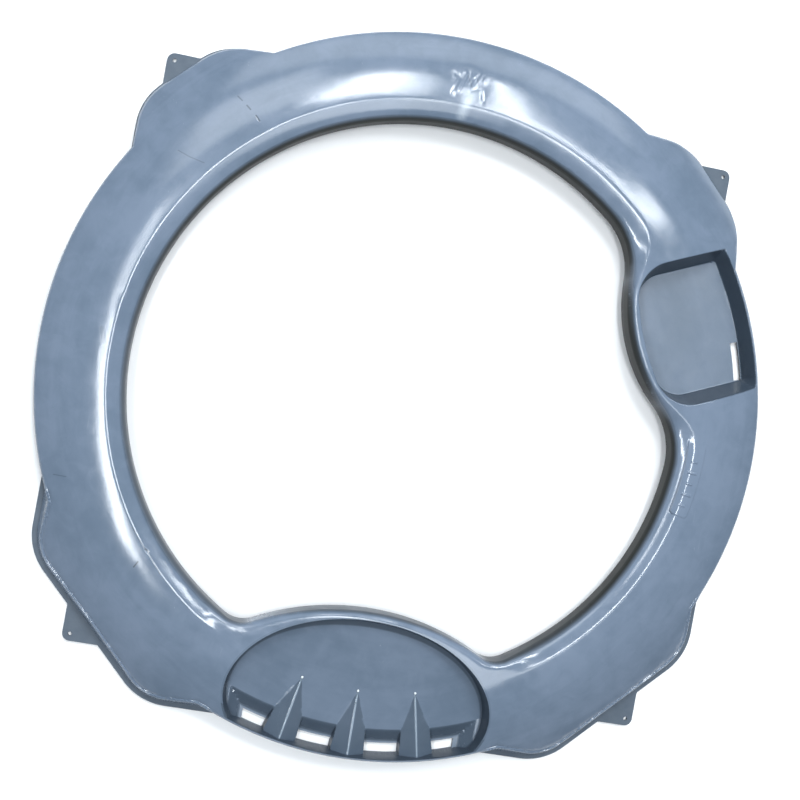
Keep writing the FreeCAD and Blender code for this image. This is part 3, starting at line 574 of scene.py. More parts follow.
def skin(fine, off, inner_tab, outer_tab, inner_pts, outer_pts):
    """Plan points and triangles between two boundaries, with the loops left open."""
    inner_cos, outer_cos = slope_cos(inner_tab), slope_cos(outer_tab)
    fixed = [inner_pts, outer_pts]
    edges = []
    base = 0
    for b in fixed:
        n = len(b)
        edges += [(base + i, base + (i + 1) % n) for i in range(n)]
        base += n
    for loop in LOOPS:
        n = len(loop)
        fixed.append(loop)
        edges += [(base + i, base + (i + 1) % n) for i in range(n)]
        base += n

    lines = []                      # open or closed lines kept as edges

    def add_line(p, closed=False):
        lines.append((np.asarray(p), closed))

    extra = []                      # (points, clearance) that only refine
    if fine:
        for d, every in ((0.07, 1), (0.30, 2), (0.75, 2), (1.4, 2), (2.2, 2), (3.2, 2), (4.3, 2)):
            extra.append((offset_contour(inner_tab, d, every), 0.03))
        for d, every in ((0.10, 1), (0.40, 2), (0.85, 2), (1.30, 2), (1.60, 2), (1.76, 2),
                         (2.05, 2), (2.40, 2), (2.75, 2), (3.15, 2)):
            p = offset_contour(outer_tab, -d, every)
            if d > 2.0:
                p = p[((p[:, 0] - TRAY_C[0]) / (TRAY_A + 3.5)) ** 2 + ((p[:, 1] - TRAY_C[1]) / (TRAY_B + 3.5)) ** 2 > 1.0]
            extra.append((p, 0.03))
        for dr in (-2.0, -1.1, -0.55, 0.0, 0.55, 1.1, 2.0):
            extra.append((xy(R_C + dr, TH)[::2], 0.25))
    # oval tray rim
    t = np.linspace(0, TAU, 420, endpoint=False)
    ds = (-1.6, -0.8, -0.3, 0.0, 0.25, 0.5, 0.9, 1.3, 1.75, 2.0, 2.25, 2.7, 3.6) if fine else (-0.6, 0, 0.6, 1.2, 1.8, 2.3, 3.2)
    a, b = TRAY_A + off, TRAY_B + off
    ex, ey = a * np.cos(t), b * np.sin(t)
    nx, ny = np.cos(t) / a, np.sin(t) / b
    nn = np.hypot(nx, ny)
    for d in ds:
        p = np.c_[TRAY_C[0] + ex - nx / nn * d, TRAY_C[1] + ey - ny / nn * d]
        rr = np.hypot(p[:, 0], p[:, 1])
        keep = rr < (WALL_IN - 0.4 if fine else RING - WALL - 0.8)
        extra.append((p[keep], 0.10))
    arc = np.linspace(math.radians(246.5), math.radians(294.0), 290)
    radii = (277.95, 277.71, 277.66, 277.55, 277.4, 277.28, 277.15, 276.4) if fine else (276.6,)
    for rr in radii:
        extra.append((xy(np.full(arc.size, rr), arc), 0.05))
    inner_arc = arc[::1]
    for rr in ((255.0, 256.0, 256.7, 257.6, 259.2, 261.5, 264.0, 266.2, 267.4, 268.5, 269.3) if fine
               else (255.0, 256.2, 258.0, 262.0, 266.6, 268.3, 269.2)):
        extra.append((xy(np.full(inner_arc.size, rr), inner_arc), 0.12))
    # ribs
    for ang in RIBS:
        ca, sa = math.cos(ang), math.sin(ang)
        shift = 3.0 * off / WALL * 2.2
        av = np.linspace(APEX_R + shift + 0.2, 276.4, 46)
        h = np.maximum(rib_half(av - shift) - off, 0.0)
        for f, add in ((0, 0), (0, 0.45), (0, 0.95), (0, 1.5), (0.5, 0), (1, 0), (1, 0.35), (1, 0.7)):
            for sg in (-1, 1):
                bb = sg * (f * h + add)
                use = np.abs(bb) <= h + 0.7001
                if f == 1 and add > 0:
                    use &= av > STEP_R - 4
                p = np.c_[av * ca - bb * sa, av * sa + bb * ca][use]
                extra.append((p, 0.12))
                if f == 0 and add == 0:
                    break
    for side_x in (-1, 1):
        for e in (-0.02, 0.06, 0.14, 0.5, 0.86, 0.94, 1.02):
            yy = np.arange(-281.0, -226.0, 0.9)
            extra.append((np.c_[np.full(yy.size, TRAY_C[0] + side_x * (END_X + e * END_RUN)), yy], 0.15))
    if fine:
        for ang in RIBS:
            cx, cy = (APEX_R - 0.4) * math.cos(ang), (APEX_R - 0.4) * math.sin(ang)
            for k, q in enumerate((0.0, 0.5, 0.9, 1.15, 1.27)):
                a = np.arange(16) * TAU / 16 + 0.2 * k
                extra.append((np.c_[cx + q * np.cos(a), cy + q * np.sin(a)][:1 if k == 0 else 16], 0.08))
    # pocket walls
    lv = np.linspace(0, 1, 9 if fine else 5)
    for k in lv:
        # walk between mouth and floor along matching points
        m, f = MOUTH, FLOOR
        p = m * (1 - k) + f * k
        if off:
            c = np.array([234.0, 0.0])
            dvec = p - c
            p = p + dvec / np.linalg.norm(dvec, axis=1)[:, None] * off
        q = np.c_[p[:, 0] * CA - p[:, 1] * SA, p[:, 0] * SA + p[:, 1] * CA]
        rr = np.hypot(p[:, 0], p[:, 1])
        q = q[rr < RING - WALL - 0.3] if off else q[rr < 277.9]
        extra.append((q, 0.12))
    if fine:
        for k in (-0.10, -0.05, 0.03, 0.07, 0.12, 0.17, 0.80, 0.86, 0.92, 0.97, 1.05):
            p = MOUTH * (1 - k) + FLOOR * k
            q = np.c_[p[:, 0] * CA - p[:, 1] * SA, p[:, 0] * SA + p[:, 1] * CA]
            rr = np.hypot(p[:, 0], p[:, 1])
            extra.append((q[rr < 277.9], 0.12))
        # label plate and marks
        rr = np.arange(219.2, 236.0, 0.5)
        aa = np.arange(-14.2, 4.0, 0.125)
        g = np.meshgrid(rr, np.radians(aa))
        extra.append((xy(g[0].ravel(), g[1].ravel()), 0.2))
        # dents
        gx, gy = np.meshgrid(np.arange(-15, 17, 0.6), np.arange(233, 257, 0.6))
        extra.append((np.c_[gx.ravel(), gy.ravel()], 0.3))
    # general fill
    if fine:
        rr = np.arange(160.0, 300.0, 2.8)
        aa = np.arange(0, 640) * TAU / 640
        clear = 1.0
    else:
        rr = np.arange(160.0, 300.0, 5.0)
        aa = np.arange(0, 360) * TAU / 360
        clear = 2.0
    for i, q in enumerate(rr):
        extra.append((xy(np.full(aa.size, q), aa + (i % 2) * (aa[1] - aa[0]) / 2), clear))

    groups = [np.concatenate(fixed)]
    tols = [np.zeros(len(groups[0]))]
    for cand, tol in extra:
        if len(cand) == 0:
            continue
        r, th = np.hypot(cand[:, 0], cand[:, 1]), np.arctan2(cand[:, 1], cand[:, 0])
        di = (r - lookup(inner_tab, th)) * lookup(inner_cos, th)
        do = (lookup(outer_tab, th) - r) * lookup(outer_cos, th)
        edge = min(max(tol, 0.04), 1.0)
        ok = (di > edge) & (do > edge)
        for loop in LOOPS:
            lo, hi = loop.min(0) - 1, loop.max(0) + 1
            m = ok & (cand[:, 0] > lo[0]) & (cand[:, 0] < hi[0]) & (cand[:, 1] > lo[1]) & (cand[:, 1] < hi[1])
            if np.any(m):
                d = polygon_distance(cand[m, 0], cand[m, 1], loop)
                idx = np.where(m)[0]
                ok[idx[d > -0.12]] = False
        groups.append(cand[ok])
        tols.append(np.full(int(ok.sum()), tol))
    P = np.concatenate(groups)
    T = np.concatenate(tols)
    # earlier points win; later ones too close to them are dropped
    tree = kdtree.KDTree(len(P))
    for i, (px, py) in enumerate(P):
        tree.insert((px, py, 0.0), i)
    tree.balance()
    alive = np.ones(len(P), bool)
    nfixed = len(groups[0])
    tl = T.tolist()
    al = alive.tolist()
    for i in range(nfixed, len(P)):
        t = tl[i]
        for co, j, dist in tree.find_range((P[i, 0], P[i, 1], 0.0), t):
            if j < i and al[j]:
                al[i] = False
                break
    P = P[np.array(al)]
    res = delaunay_2d_cdt([Vector((float(a), float(b))) for a, b in P], edges, [], 0, 1e-6, True)
    V = np.array([(v.x, v.y) for v in res[0]])
    F = np.array([f for f in res[2] if len(f) == 3])
    c = V[F].mean(1)
    r, th = np.hypot(c[:, 0], c[:, 1]), np.arctan2(c[:, 1], c[:, 0])
    di, do = r - lookup(inner_tab, th), lookup(outer_tab, th) - r
    keep = (di > 0) & (do > 0)
    # exact test near the two boundaries
    m = np.abs(di) < 0.4
    keep[m] = polygon_distance(c[m, 0], c[m, 1], inner_pts) < 0
    m = np.abs(do) < 0.4
    keep[m] = polygon_distance(c[m, 0], c[m, 1], outer_pts) > 0
    for loop in LOOPS:
        lo, hi = loop.min(0), loop.max(0)
        m = (c[:, 0] > lo[0]) & (c[:, 0] < hi[0]) & (c[:, 1] > lo[1]) & (c[:, 1] < hi[1])
        idx = np.where(m)[0]
        keep[idx[inside_polygon(c[m, 0], c[m, 1], loop)]] = False
    F = F[keep]
    # counter-clockwise from above
    A, B, C = V[F[:, 0]], V[F[:, 1]], V[F[:, 2]]
    area = (B[:, 0] - A[:, 0]) * (C[:, 1] - A[:, 1]) - (B[:, 1] - A[:, 1]) * (C[:, 0] - A[:, 0])
    F[area < 0] = F[area < 0][:, ::-1]
    F = F[np.abs(area) > 1e-7]
    # where each fixed point went
    where = {}
    for new, olds in enumerate(res[3]):
        for o in olds:
            where[o] = new
    return V, F, where


verts, faces = [], []


def add_points(p3):
    start = len(verts)
    verts.extend(map(tuple, p3))
    return np.arange(start, start + len(p3))


def strip(a, b, flip=False):
    """Quads between two closed rows of vertex numbers."""
    n = len(a)
    for i in range(n):
        j = (i + 1) % n
        q = (a[i], a[j], b[j], b[i])
        faces.append(q[::-1] if flip else q)


inner_xy = xy(R_IN, TH)
edge_xy = xy(R_EDGE, TH)
top_V, top_F, top_at = skin(True, 0.0, R_IN, R_EDGE, inner_xy, edge_xy)
top_Z = surface(top_V[:, 0], top_V[:, 1], 0.0)
top_ids = add_points(np.c_[top_V, top_Z])
for f in top_F:
    faces.append(tuple(int(top_ids[i]) for i in f))
print("top skin", len(top_V), len(top_F))

in_t = np.array([top_ids[top_at[i]] for i in range(N)])
ed_t = np.array([top_ids[top_at[N + i]] for i in range(N)])

inner_out = offset_contour(R_IN, WALL)
r_io, t_io = np.hypot(inner_out[:, 0], inner_out[:, 1]), np.arctan2(inner_out[:, 1], inner_out[:, 0])
order = np.argsort(t_io % TAU)
R_IO = np.interp(TH, np.concatenate([(t_io % TAU)[order] - TAU, (t_io % TAU)[order], (t_io % TAU)[order] + TAU]),
                 np.concatenate([r_io[order]] * 3))
inner_out = xy(R_IO, TH)
hollow_xy = xy(R_HT, TH)
bot_V, bot_F, bot_at = skin(False, WALL, R_IO, R_HT, inner_out, hollow_xy)
bot_Z = surface(bot_V[:, 0], bot_V[:, 1], WALL)
bot_ids = add_points(np.c_[bot_V, bot_Z])
for f in bot_F:
    faces.append(tuple(int(bot_ids[i]) for i in f)[::-1])
print("under skin", len(bot_V), len(bot_F))
in_b = np.array([bot_ids[bot_at[i]] for i in range(N)])
ed_b = np.array([bot_ids[bot_at[N + i]] for i in range(N)])

# walls of the through slots
base = 2 * N
for loop in LOOPS:
    n = len(loop)
    a = [int(top_ids[top_at[base + i]]) for i in range(n)]
    b = [int(bot_ids[bot_at[base + i]]) for i in range(n)]
    x, y = loop[:, 0], loop[:, 1]
    ccw = (x * np.roll(y, -1) - np.roll(x, -1) * y).sum() > 0
    strip(a, b, flip=ccw)
    base += n

# outer skirt: crown edge, rows down to the flange, inner side back up
edge_z = np.array([verts[i][2] for i in ed_t])
rows = [ed_t]
for k in (0.12, 0.55):
    z = edge_z + (FLANGE_T - edge_z) * k
    r = R_EDGE + (R_FOOT - R_EDGE) * k
    rows.append(add_points(np.c_[xy(r, TH), z]))
foot = add_points(np.c_[xy(R_FOOT, TH), np.full(N, FLANGE_T)])
rows.append(foot)
for a, b in zip(rows[:-1], rows[1:]):
    strip(a, b, flip=True)

# inner skirt, seen from the opening
lip_z = np.array([verts[i][2] for i in in_t])
rows = [in_t]
for k in (0.5, 0.97):
    rows.append(add_points(np.c_[inner_xy, lip_z + (SKIRT_BASE - lip_z) * k]))
inner_base = add_points(np.c_[xy(R_IN + 0.25, TH), np.full(N, SKIRT_BASE)])
rows.append(inner_base)
for a, b in zip(rows[:-1], rows[1:]):
    strip(a, b)
io_base = add_points(np.c_[inner_out, np.full(N, SKIRT_BASE)])
strip(inner_base, io_base)
strip(io_base, in_b)

hollow_base = add_points(np.c_[xy(R_HF, TH), np.zeros(N)])
strip(hollow_base, ed_b, flip=True)

# foot flange with the four tabs: top at FLANGE_T, edge, base
fl_top = add_points(np.c_[xy(R_FL, TH), np.full(N, FLANGE_T - 0.35)])
fl_in = add_points(np.c_[xy(np.maximum(R_FL - 0.35, R_FOOT), TH), np.full(N, FLANGE_T)])
fl_base = add_points(np.c_[xy(R_FL, TH), np.zeros(N)])
strip(fl_in, fl_top, flip=True)
strip(fl_top, fl_base, flip=True)

TAB_HOLES = [(sx * 220.6, sy * 220.6) for sx, sy in ((1, 1), (-1, 1), (-1, -1), (1, -1))]
HN = 24


def annulus(outer_ids, inner_ids, z, up):
    """Flat face between two rows of vertices with the tab holes left open."""
    po = np.array([verts[i][:2] for i in outer_ids])
    pi = np.array([verts[i][:2] for i in inner_ids])
    P, E, ids = [], [], []
    for row, idx in ((po, outer_ids), (pi, inner_ids)):
        b = len(P)
        P += [tuple(p) for p in row]
        ids += list(idx)
        E += [(b + i, b + (i + 1) % N) for i in range(N)]
    rings = []
    for hx, hy in TAB_HOLES:
        b = len(P)
        t = np.arange(HN) * TAU / HN
        q = np.c_[hx + 1.5 * np.cos(t), hy + 1.5 * np.sin(t)]
        hid = add_points(np.c_[q, np.full(HN, z)])
        rings.append(hid)
        P += [tuple(p) for p in q]
        ids += list(hid)
        E += [(b + i, b + (i + 1) % HN) for i in range(HN)]
    res = delaunay_2d_cdt([Vector((float(a), float(b))) for a, b in P], E, [], 0, 1e-4, True)
    V = np.array([(v.x, v.y) for v in res[0]])
    pick = [olds[0] if olds else None for olds in res[3]]
    F = np.array([f for f in res[2] if len(f) == 3])
    c = V[F].mean(1)
    keep = (polygon_distance(c[:, 0], c[:, 1], po) > 1e-4) & (polygon_distance(c[:, 0], c[:, 1], pi) < -1e-4)
    for k in range(4):
        ringp = np.array([verts[i][:2] for i in rings[k]])
        keep &= polygon_distance(c[:, 0], c[:, 1], ringp) < 1e-4
    for f in F[keep]:
        g = [pick[i] for i in f]
        if any(i is None for i in g):
            continue
        A, B, C = V[f[0]], V[f[1]], V[f[2]]
        area = (B[0] - A[0]) * (C[1] - A[1]) - (B[1] - A[1]) * (C[0] - A[0])
        if abs(area) < 1e-9:
            continue
        tri = tuple(int(ids[i]) for i in g)
        if (area > 0) != up:
            tri = tri[::-1]
        faces.append(tri)
    return rings


top_rings = annulus(fl_in, foot, FLANGE_T, True)
base_rings = annulus(fl_base, hollow_base, 0.0, False)
for a, b in zip(top_rings, base_rings):
    strip(list(a), list(b))

mesh = bpy.data.meshes.new("tub_ring_shell")
arr = np.array(verts) / 1000.0
mesh.from_pydata([tuple(v) for v in arr], [], faces)
bm = bmesh.new()
bm.from_mesh(mesh)
bmesh.ops.remove_doubles(bm, verts=bm.verts, dist=4e-6)
bmesh.ops.dissolve_degenerate(bm, edges=bm.edges, dist=1e-6)
bmesh.ops.recalc_face_normals(bm, faces=bm.faces)
bad_edges = [e for e in bm.edges if len(e.link_faces) != 2]
open_edges = len(bad_edges)
for e in bad_edges[:12]:
    print("edge", [tuple(round(c * 1000, 2) for c in v.co) for v in e.verts], len(e.link_faces))
vol = bm.calc_volume(signed=True)
print("open or shared edges", open_edges, "faces", len(bm.faces), "volume cm3", round(vol * 1e6, 1))
if vol < 0:
    bmesh.ops.reverse_faces(bm, faces=bm.faces)
bm.to_mesh(mesh)
bm.free()
mesh.shade_smooth()
mesh.set_sharp_from_angle(angle=math.radians(32))
mesh.update()

ring = bpy.data.objects.new("tub_ring_shell", mesh)
bpy.context.scene.collection.objects.link(ring)
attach(ring, "root")
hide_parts("tub_ring")

# ---------------------------------------------------------------------------
# material: one glossy moulded plastic, patterned by position on the part (mm)
# ---------------------------------------------------------------------------
mat = bpy.data.materials.new("blue_grey_plastic")
mat.use_nodes = True
nt = mat.node_tree
nt.nodes.clear()


def node(kind, **kw):
    n = nt.nodes.new(kind)
    for k, v in kw.items():
        setattr(n, k, v)
    return n


def feed(n, i, v):
    if v is None:
        return
    if isinstance(v, bpy.types.NodeSocket):
        nt.links.new(v, n.inputs[i])
    else:
        n.inputs[i].default_value = v


def m(op, a, b=None, c=None, clamp=False):
    n = node("ShaderNodeMath", operation=op, use_clamp=clamp)
    feed(n, 0, a)
    feed(n, 1, b)
    feed(n, 2, c)
    return n.outputs[0]


def step(x, lo, hi, out0=0.0, out1=1.0):
    n = node("ShaderNodeMapRange", interpolation_type="SMOOTHSTEP", clamp=True)
    feed(n, 0, x)
    for i, v in enumerate((lo, hi, out0, out1)):
        n.inputs[i + 1].default_value = v
    return n.outputs[0]


def noise(vec, scale, detail=2.0, rough=0.5, distort=0.0):
    n = node("ShaderNodeTexNoise")
    feed(n, "Vector", vec)
    n.inputs["Scale"].default_value = scale
    n.inputs["Detail"].default_value = detail
    n.inputs["Roughness"].default_value = rough
    n.inputs["Distortion"].default_value = distort
    return n.outputs["Fac"]


def mix(fac, a, b, blend="MIX"):
    n = node("ShaderNodeMix", data_type="RGBA", blend_type=blend)
    feed(n, 0, fac)
    for i, v in ((6, a), (7, b)):
        if isinstance(v, bpy.types.NodeSocket):
            nt.links.new(v, n.inputs[i])
        else:
            n.inputs[i].default_value = (*v, 1.0)
    return n.outputs[2]


def combine(x, y, z):
    n = node("ShaderNodeCombineXYZ")
    feed(n, 0, x)
    feed(n, 1, y)
    feed(n, 2, z)
    return n.outputs[0]


coord = node("ShaderNodeTexCoord")
scaled = node("ShaderNodeVectorMath", operation="SCALE")
nt.links.new(coord.outputs["Object"], scaled.inputs[0])
scaled.inputs["Scale"].default_value = 1000.0
P3 = scaled.outputs[0]
sp = node("ShaderNodeSeparateXYZ")
nt.links.new(P3, sp.inputs[0])
X, Y, Z = sp.outputs
RR = m("SQRT", m("ADD", m("MULTIPLY", X, X), m("MULTIPLY", Y, Y)))
AA = m("ARCTAN2", Y, X)
geo = node("ShaderNodeNewGeometry")
sn = node("ShaderNodeSeparateXYZ")
nt.links.new(geo.outputs["Normal"], sn.inputs[0])
NX, NY, NZ = sn.outputs
inward = m("DIVIDE", m("MULTIPLY", m("ADD", m("MULTIPLY", NX, X), m("MULTIPLY", NY, Y)), -1.0), RR)

# base colour: cloudy, slightly uneven pigment
cloud = noise(P3, 0.014, 3.0, 0.55, 0.3)
fine_cloud = noise(P3, 0.07, 3.0, 0.6, 0.6)
flow = noise(combine(m("MULTIPLY", RR, 0.05), m("MULTIPLY", AA, 2.2), m("MULTIPLY", Z, 0.01)), 1.0, 4.0, 0.6, 0.8)
tone = m("ADD", m("MULTIPLY", cloud, 0.5), m("ADD", m("MULTIPLY", fine_cloud, 0.22), m("MULTIPLY", flow, 0.28)))
col = mix(step(tone, 0.36, 0.64), (0.120, 0.162, 0.222), (0.164, 0.210, 0.282))
# inner skirt and the roll of the lip are dull, and painted shade makes them darker
skirt_shade = m("MULTIPLY", m("LESS_THAN", RR, 219.7), step(inward, 0.50, 0.90))
# the painted shade is strongest at the back and the right
turn = m("COSINE", m("SUBTRACT", AA, math.radians(55.0)))
skirt_shade = m("MULTIPLY", skirt_shade, step(turn, -0.95, 0.1, 0.68, 1.0))
col = mix(skirt_shade, col, (0.016, 0.018, 0.017))
# painted shade: the steep walls of tray and pocket, and the tray's roof ribs, are coloured darker
well = m("MULTIPLY", m("GREATER_THAN", RR, 221.0), m("LESS_THAN", RR, 277.9))
TX, TY = m("DIVIDE", m("SUBTRACT", X, TRAY_C[0]), TRAY_A + 1.5), m("DIVIDE", m("SUBTRACT", Y, TRAY_C[1]), TRAY_B + 1.5)
in_tray = m("MULTIPLY", m("LESS_THAN", m("ADD", m("MULTIPLY", TX, TX), m("MULTIPLY", TY, TY)), 1.0),
            m("LESS_THAN", RR, 277.9))
PU = m("ADD", m("MULTIPLY", X, CA), m("MULTIPLY", Y, SA))
PV = m("SUBTRACT", m("MULTIPLY", Y, CA), m("MULTIPLY", X, SA))
qu = m("MAXIMUM", m("SUBTRACT", 218.5, PU), 0.0)
qv = m("MAXIMUM", m("SUBTRACT", m("ABSOLUTE", PV), 26.8), 0.0)
in_pocket = m("MULTIPLY", m("LESS_THAN", RR, 277.9),
              m("LESS_THAN", m("ADD", m("MULTIPLY", qu, qu), m("MULTIPLY", qv, qv)), 30.3 ** 2))
steep_shade = m("MULTIPLY", m("MAXIMUM", in_tray, in_pocket), step(NZ, 0.90, 0.45))
# painted shadow: a dark line at the foot of the tray wall all round
ux, uy = m("SUBTRACT", X, TRAY_C[0]), m("SUBTRACT", Y, TRAY_C[1])
ex, ey = m("DIVIDE", ux, TRAY_A), m("DIVIDE", uy, TRAY_B)
EE = m("MAXIMUM", m("SQRT", m("ADD", m("MULTIPLY", ex, ex), m("MULTIPLY", ey, ey))), 0.2)
deep = m("MULTIPLY", m("SQRT", m("ADD", m("MULTIPLY", ux, ux), m("MULTIPLY", uy, uy))),
         m("SUBTRACT", m("DIVIDE", 1.0, EE), 1.0))
deep_in = m("SUBTRACT", deep, m("MULTIPLY", m("MAXIMUM", ey, 0.0), 3.8))
rim_shadow_line = m("MULTIPLY", m("MULTIPLY", step(deep, -0.5, 0.5), step(deep_in, 4.0, 2.8)), m("LESS_THAN", RR, 277.4))
steep_shade = m("MAXIMUM", steep_shade, m("MULTIPLY", rim_shadow_line, 0.9))
steep_shade = m("MULTIPLY", steep_shade, m("LESS_THAN", Z, 34.2))
col = mix(m("MULTIPLY", steep_shade, 0.74), col, (0.016, 0.024, 0.034))
# painted shade on the sloping faces of the tray's roof ribs
facet_shade = m("MULTIPLY", m("MULTIPLY", in_tray, step(NZ, 0.975, 0.940)), m("SUBTRACT", 1.0, steep_shade))
facet_shade = m("MULTIPLY", facet_shade, m("LESS_THAN", Z, 26.0))
col = mix(m("MULTIPLY", facet_shade, 0.50), col, (0.035, 0.050, 0.066))
# painted shade: the insides of tray and pocket are coloured a little darker
col = mix(m("MULTIPLY", m("MAXIMUM", in_tray, in_pocket), 0.22), col, (0.060, 0.086, 0.118))
# flange and tabs are duller, and painted shade makes them darker than the crown
flange_shade = m("MULTIPLY", m("LESS_THAN", Z, 3.4), m("GREATER_THAN", RR, 278.5))
col = mix(m("MULTIPLY", flange_shade, 0.62), col, (0.030, 0.040, 0.050))
# worn marks, drawn as short strokes
def stroke(x0, y0, x1, y1, w, core=0.35):
    bx, by = x1 - x0, y1 - y0
    q = bx * bx + by * by
    px, py = m("SUBTRACT", X, x0), m("SUBTRACT", Y, y0)
    h = m("DIVIDE", m("ADD", m("MULTIPLY", px, bx), m("MULTIPLY", py, by)), q, clamp=True)
    dx, dy = m("SUBTRACT", px, m("MULTIPLY", h, bx)), m("SUBTRACT", py, m("MULTIPLY", h, by))
    d = m("SQRT", m("ADD", m("MULTIPLY", dx, dx), m("MULTIPLY", dy, dy)))
    return step(d, w, w * core)


marks = None
for spec in ((-168.3, 198.3, -164.6, 195.6, 0.7, 0.55), (-160.5, 192.4, -157.4, 189.8, 0.8, 0.7),
             (-152.5, 185.8, -149.4, 182.6, 0.9, 0.8), (-204.0, 149.5, -194.5, 146.2, 0.6, 0.35),
             (-194.5, 146.2, -183.7, 143.9, 0.6, 0.35), (-187.5, -129.4, -175.0, -144.0, 0.35, 0.8),
             (-173.0, -146.0, -161.0, -160.4, 0.35, 0.8), (-175.3, -143.8, -172.1, -145.5, 0.8, 0.9),
             (-181.2, -158.4, -178.8, -154.0, 0.7, 0.9), (-250.9, -101.8, -241.4, -101.6, 0.5, 0.45),
             (-234.6, 10.5, -231.8, 1.2, 2.4, 0.22), (-231.5, -4.0, -230.8, -12.0, 2.6, 0.16),
             (-1.5, 249.0, 3.8, 239.0, 0.7, 0.35), (5.0, 250.0, 8.6, 241.0, 0.6, 0.3)):
    f = m("MULTIPLY", stroke(*spec[:5]), spec[5])
    marks = f if marks is None else m("MAXIMUM", marks, f)
marks = m("MULTIPLY", marks, m("GREATER_THAN", NZ, 0.3))
col = mix(marks, col, (0.045, 0.060, 0.080))
# painted highlight: pale lines along the rib ridges, and painted glints, nearly pure pale dots, at their inner ends
ridge, tip_glints = None, None
for ang in RIBS:
    c, s_ = math.cos(ang), math.sin(ang)
    f = stroke((APEX_R + 1.0) * c, (APEX_R + 1.0) * s_, 276.0 * c, 276.0 * s_, 1.0)
    ridge = f if ridge is None else m("MAXIMUM", ridge, f)
    g = stroke((APEX_R - 0.5) * c, (APEX_R - 0.5) * s_, (APEX_R - 0.3) * c, (APEX_R - 0.3) * s_, 1.25)
    tip_glints = g if tip_glints is None else m("MAXIMUM", tip_glints, g)
col = mix(m("MULTIPLY", ridge, 0.42), col, (0.26, 0.33, 0.39))
col = mix(m("MULTIPLY", tip_glints, 0.95), col, (0.80, 0.86, 0.90))
# painted reflection: a pale streak of reflected light from the dent down to the lip
dent_reflection = stroke(-1.2, 218.6, 1.6, 231.5, 6.2, 0.05)
dent_reflection = m("MAXIMUM", dent_reflection, stroke(1.6, 231.5, 6.4, 237.0, 6.6, 0.02))
dent_reflection = m("MULTIPLY", dent_reflection, m("ADD", 0.45, m("MULTIPLY", step(fine_cloud, 0.3, 0.7), 0.55)))
col = mix(m("MULTIPLY", dent_reflection, m("MULTIPLY", step(inward, 0.75, 0.35), 0.66)), col, (0.56, 0.63, 0.69))
# a little pale scuffing where the ring was handled
scuff = step(noise(combine(m("MULTIPLY", X, 0.9), m("MULTIPLY", Y, 0.16), Z), 0.35, 5.0, 0.75, 1.2), 0.615, 0.72)
scuff = m("MULTIPLY", scuff, step(noise(P3, 0.02, 2.0), 0.48, 0.62))
col = mix(m("MULTIPLY", scuff, 0.16), col, (0.34, 0.39, 0.45))
# dust gathers low in the tray and the pocket
low = m("MULTIPLY", step(Z, 9.0, 3.2), step(NZ, 0.6, 0.95))
col = mix(m("MULTIPLY", low, m("MULTIPLY", noise(P3, 0.12, 4.0, 0.6), 0.35)), col, (0.20, 0.23, 0.26))

rough = m("ADD", 0.125, m("MULTIPLY", step(fine_cloud, 0.3, 0.75), 0.05))
rough = m("ADD", rough, m("ADD", m("MULTIPLY", scuff, 0.16), m("MULTIPLY", skirt_shade, 0.35)))
rough = m("ADD", rough, m("MULTIPLY", m("MAXIMUM", steep_shade, flange_shade), 0.20))
rough = m("ADD", rough, m("MULTIPLY", low, 0.20))

micro = noise(P3, 1.6, 2.0, 0.5)
peel = noise(P3, 0.22, 2.0, 0.5)
drag = noise(combine(m("MULTIPLY", RR, 1.4), m("MULTIPLY", AA, 14.0), Z), 1.0, 3.0, 0.6)
height = m("ADD", m("MULTIPLY", micro, 0.012), m("ADD", m("MULTIPLY", peel, 0.04), m("MULTIPLY", drag, 0.02)))
height = m("SUBTRACT", height, m("MULTIPLY", marks, 0.10))
bump = node("ShaderNodeBump")
bump.inputs["Strength"].default_value = 0.55
bump.inputs["Distance"].default_value = 0.001
nt.links.new(height, bump.inputs["Height"])

out = node("ShaderNodeOutputMaterial")
bsdf = node("ShaderNodeBsdfPrincipled")
nt.links.new(bsdf.outputs[0], out.inputs[0])
nt.links.new(col, bsdf.inputs["Base Color"])
nt.links.new(rough, bsdf.inputs["Roughness"])
nt.links.new(bump.outputs[0], bsdf.inputs["Normal"])
bsdf.inputs["IOR"].default_value = 1.52
tray_rim = m("MULTIPLY", m("MULTIPLY", m("LESS_THAN", Y, -150.0), m("LESS_THAN", RR, 205.0)), step(inward, 0.06, 0.22))
gloss = m("SUBTRACT", 0.62, m("MULTIPLY", m("MAXIMUM", m("MAXIMUM", skirt_shade, steep_shade), m("MAXIMUM", flange_shade, m("MULTIPLY", tray_rim, 0.8))), 0.46))
nt.links.new(gloss, bsdf.inputs["Specular IOR Level"])
mesh.materials.append(mat)

# ---------------------------------------------------------------------------
# floor and light
# ---------------------------------------------------------------------------
fm = bpy.data.meshes.new("floor")
S = 4.0
fm.from_pydata([(-S, -S, 0), (S, -S, 0), (S, S, 0), (-S, S, 0)], [], [(0, 1, 2, 3)])
floor = bpy.data.objects.new("floor", fm)
floor.location = (0, 0, -0.0004)
bpy.context.scene.collection.objects.link(floor)
fmat = bpy.data.materials.new("pale_floor")
fmat.use_nodes = True
fb = fmat.node_tree.nodes["Principled BSDF"]
fb.inputs["Base Color"].default_value = (0.93, 0.93, 0.93, 1)
fb.inputs["Roughness"].default_value = 0.9
fb.inputs["Specular IOR Level"].default_value = 0.1
fm.materials.append(fmat)

world = bpy.data.worlds.new("studio")
bpy.context.scene.world = world
world.use_nodes = True
bg = world.node_tree.nodes["Background"]
bg.inputs[0].default_value = (0.86, 0.93, 1.0, 1)
bg.inputs[1].default_value = 0.17


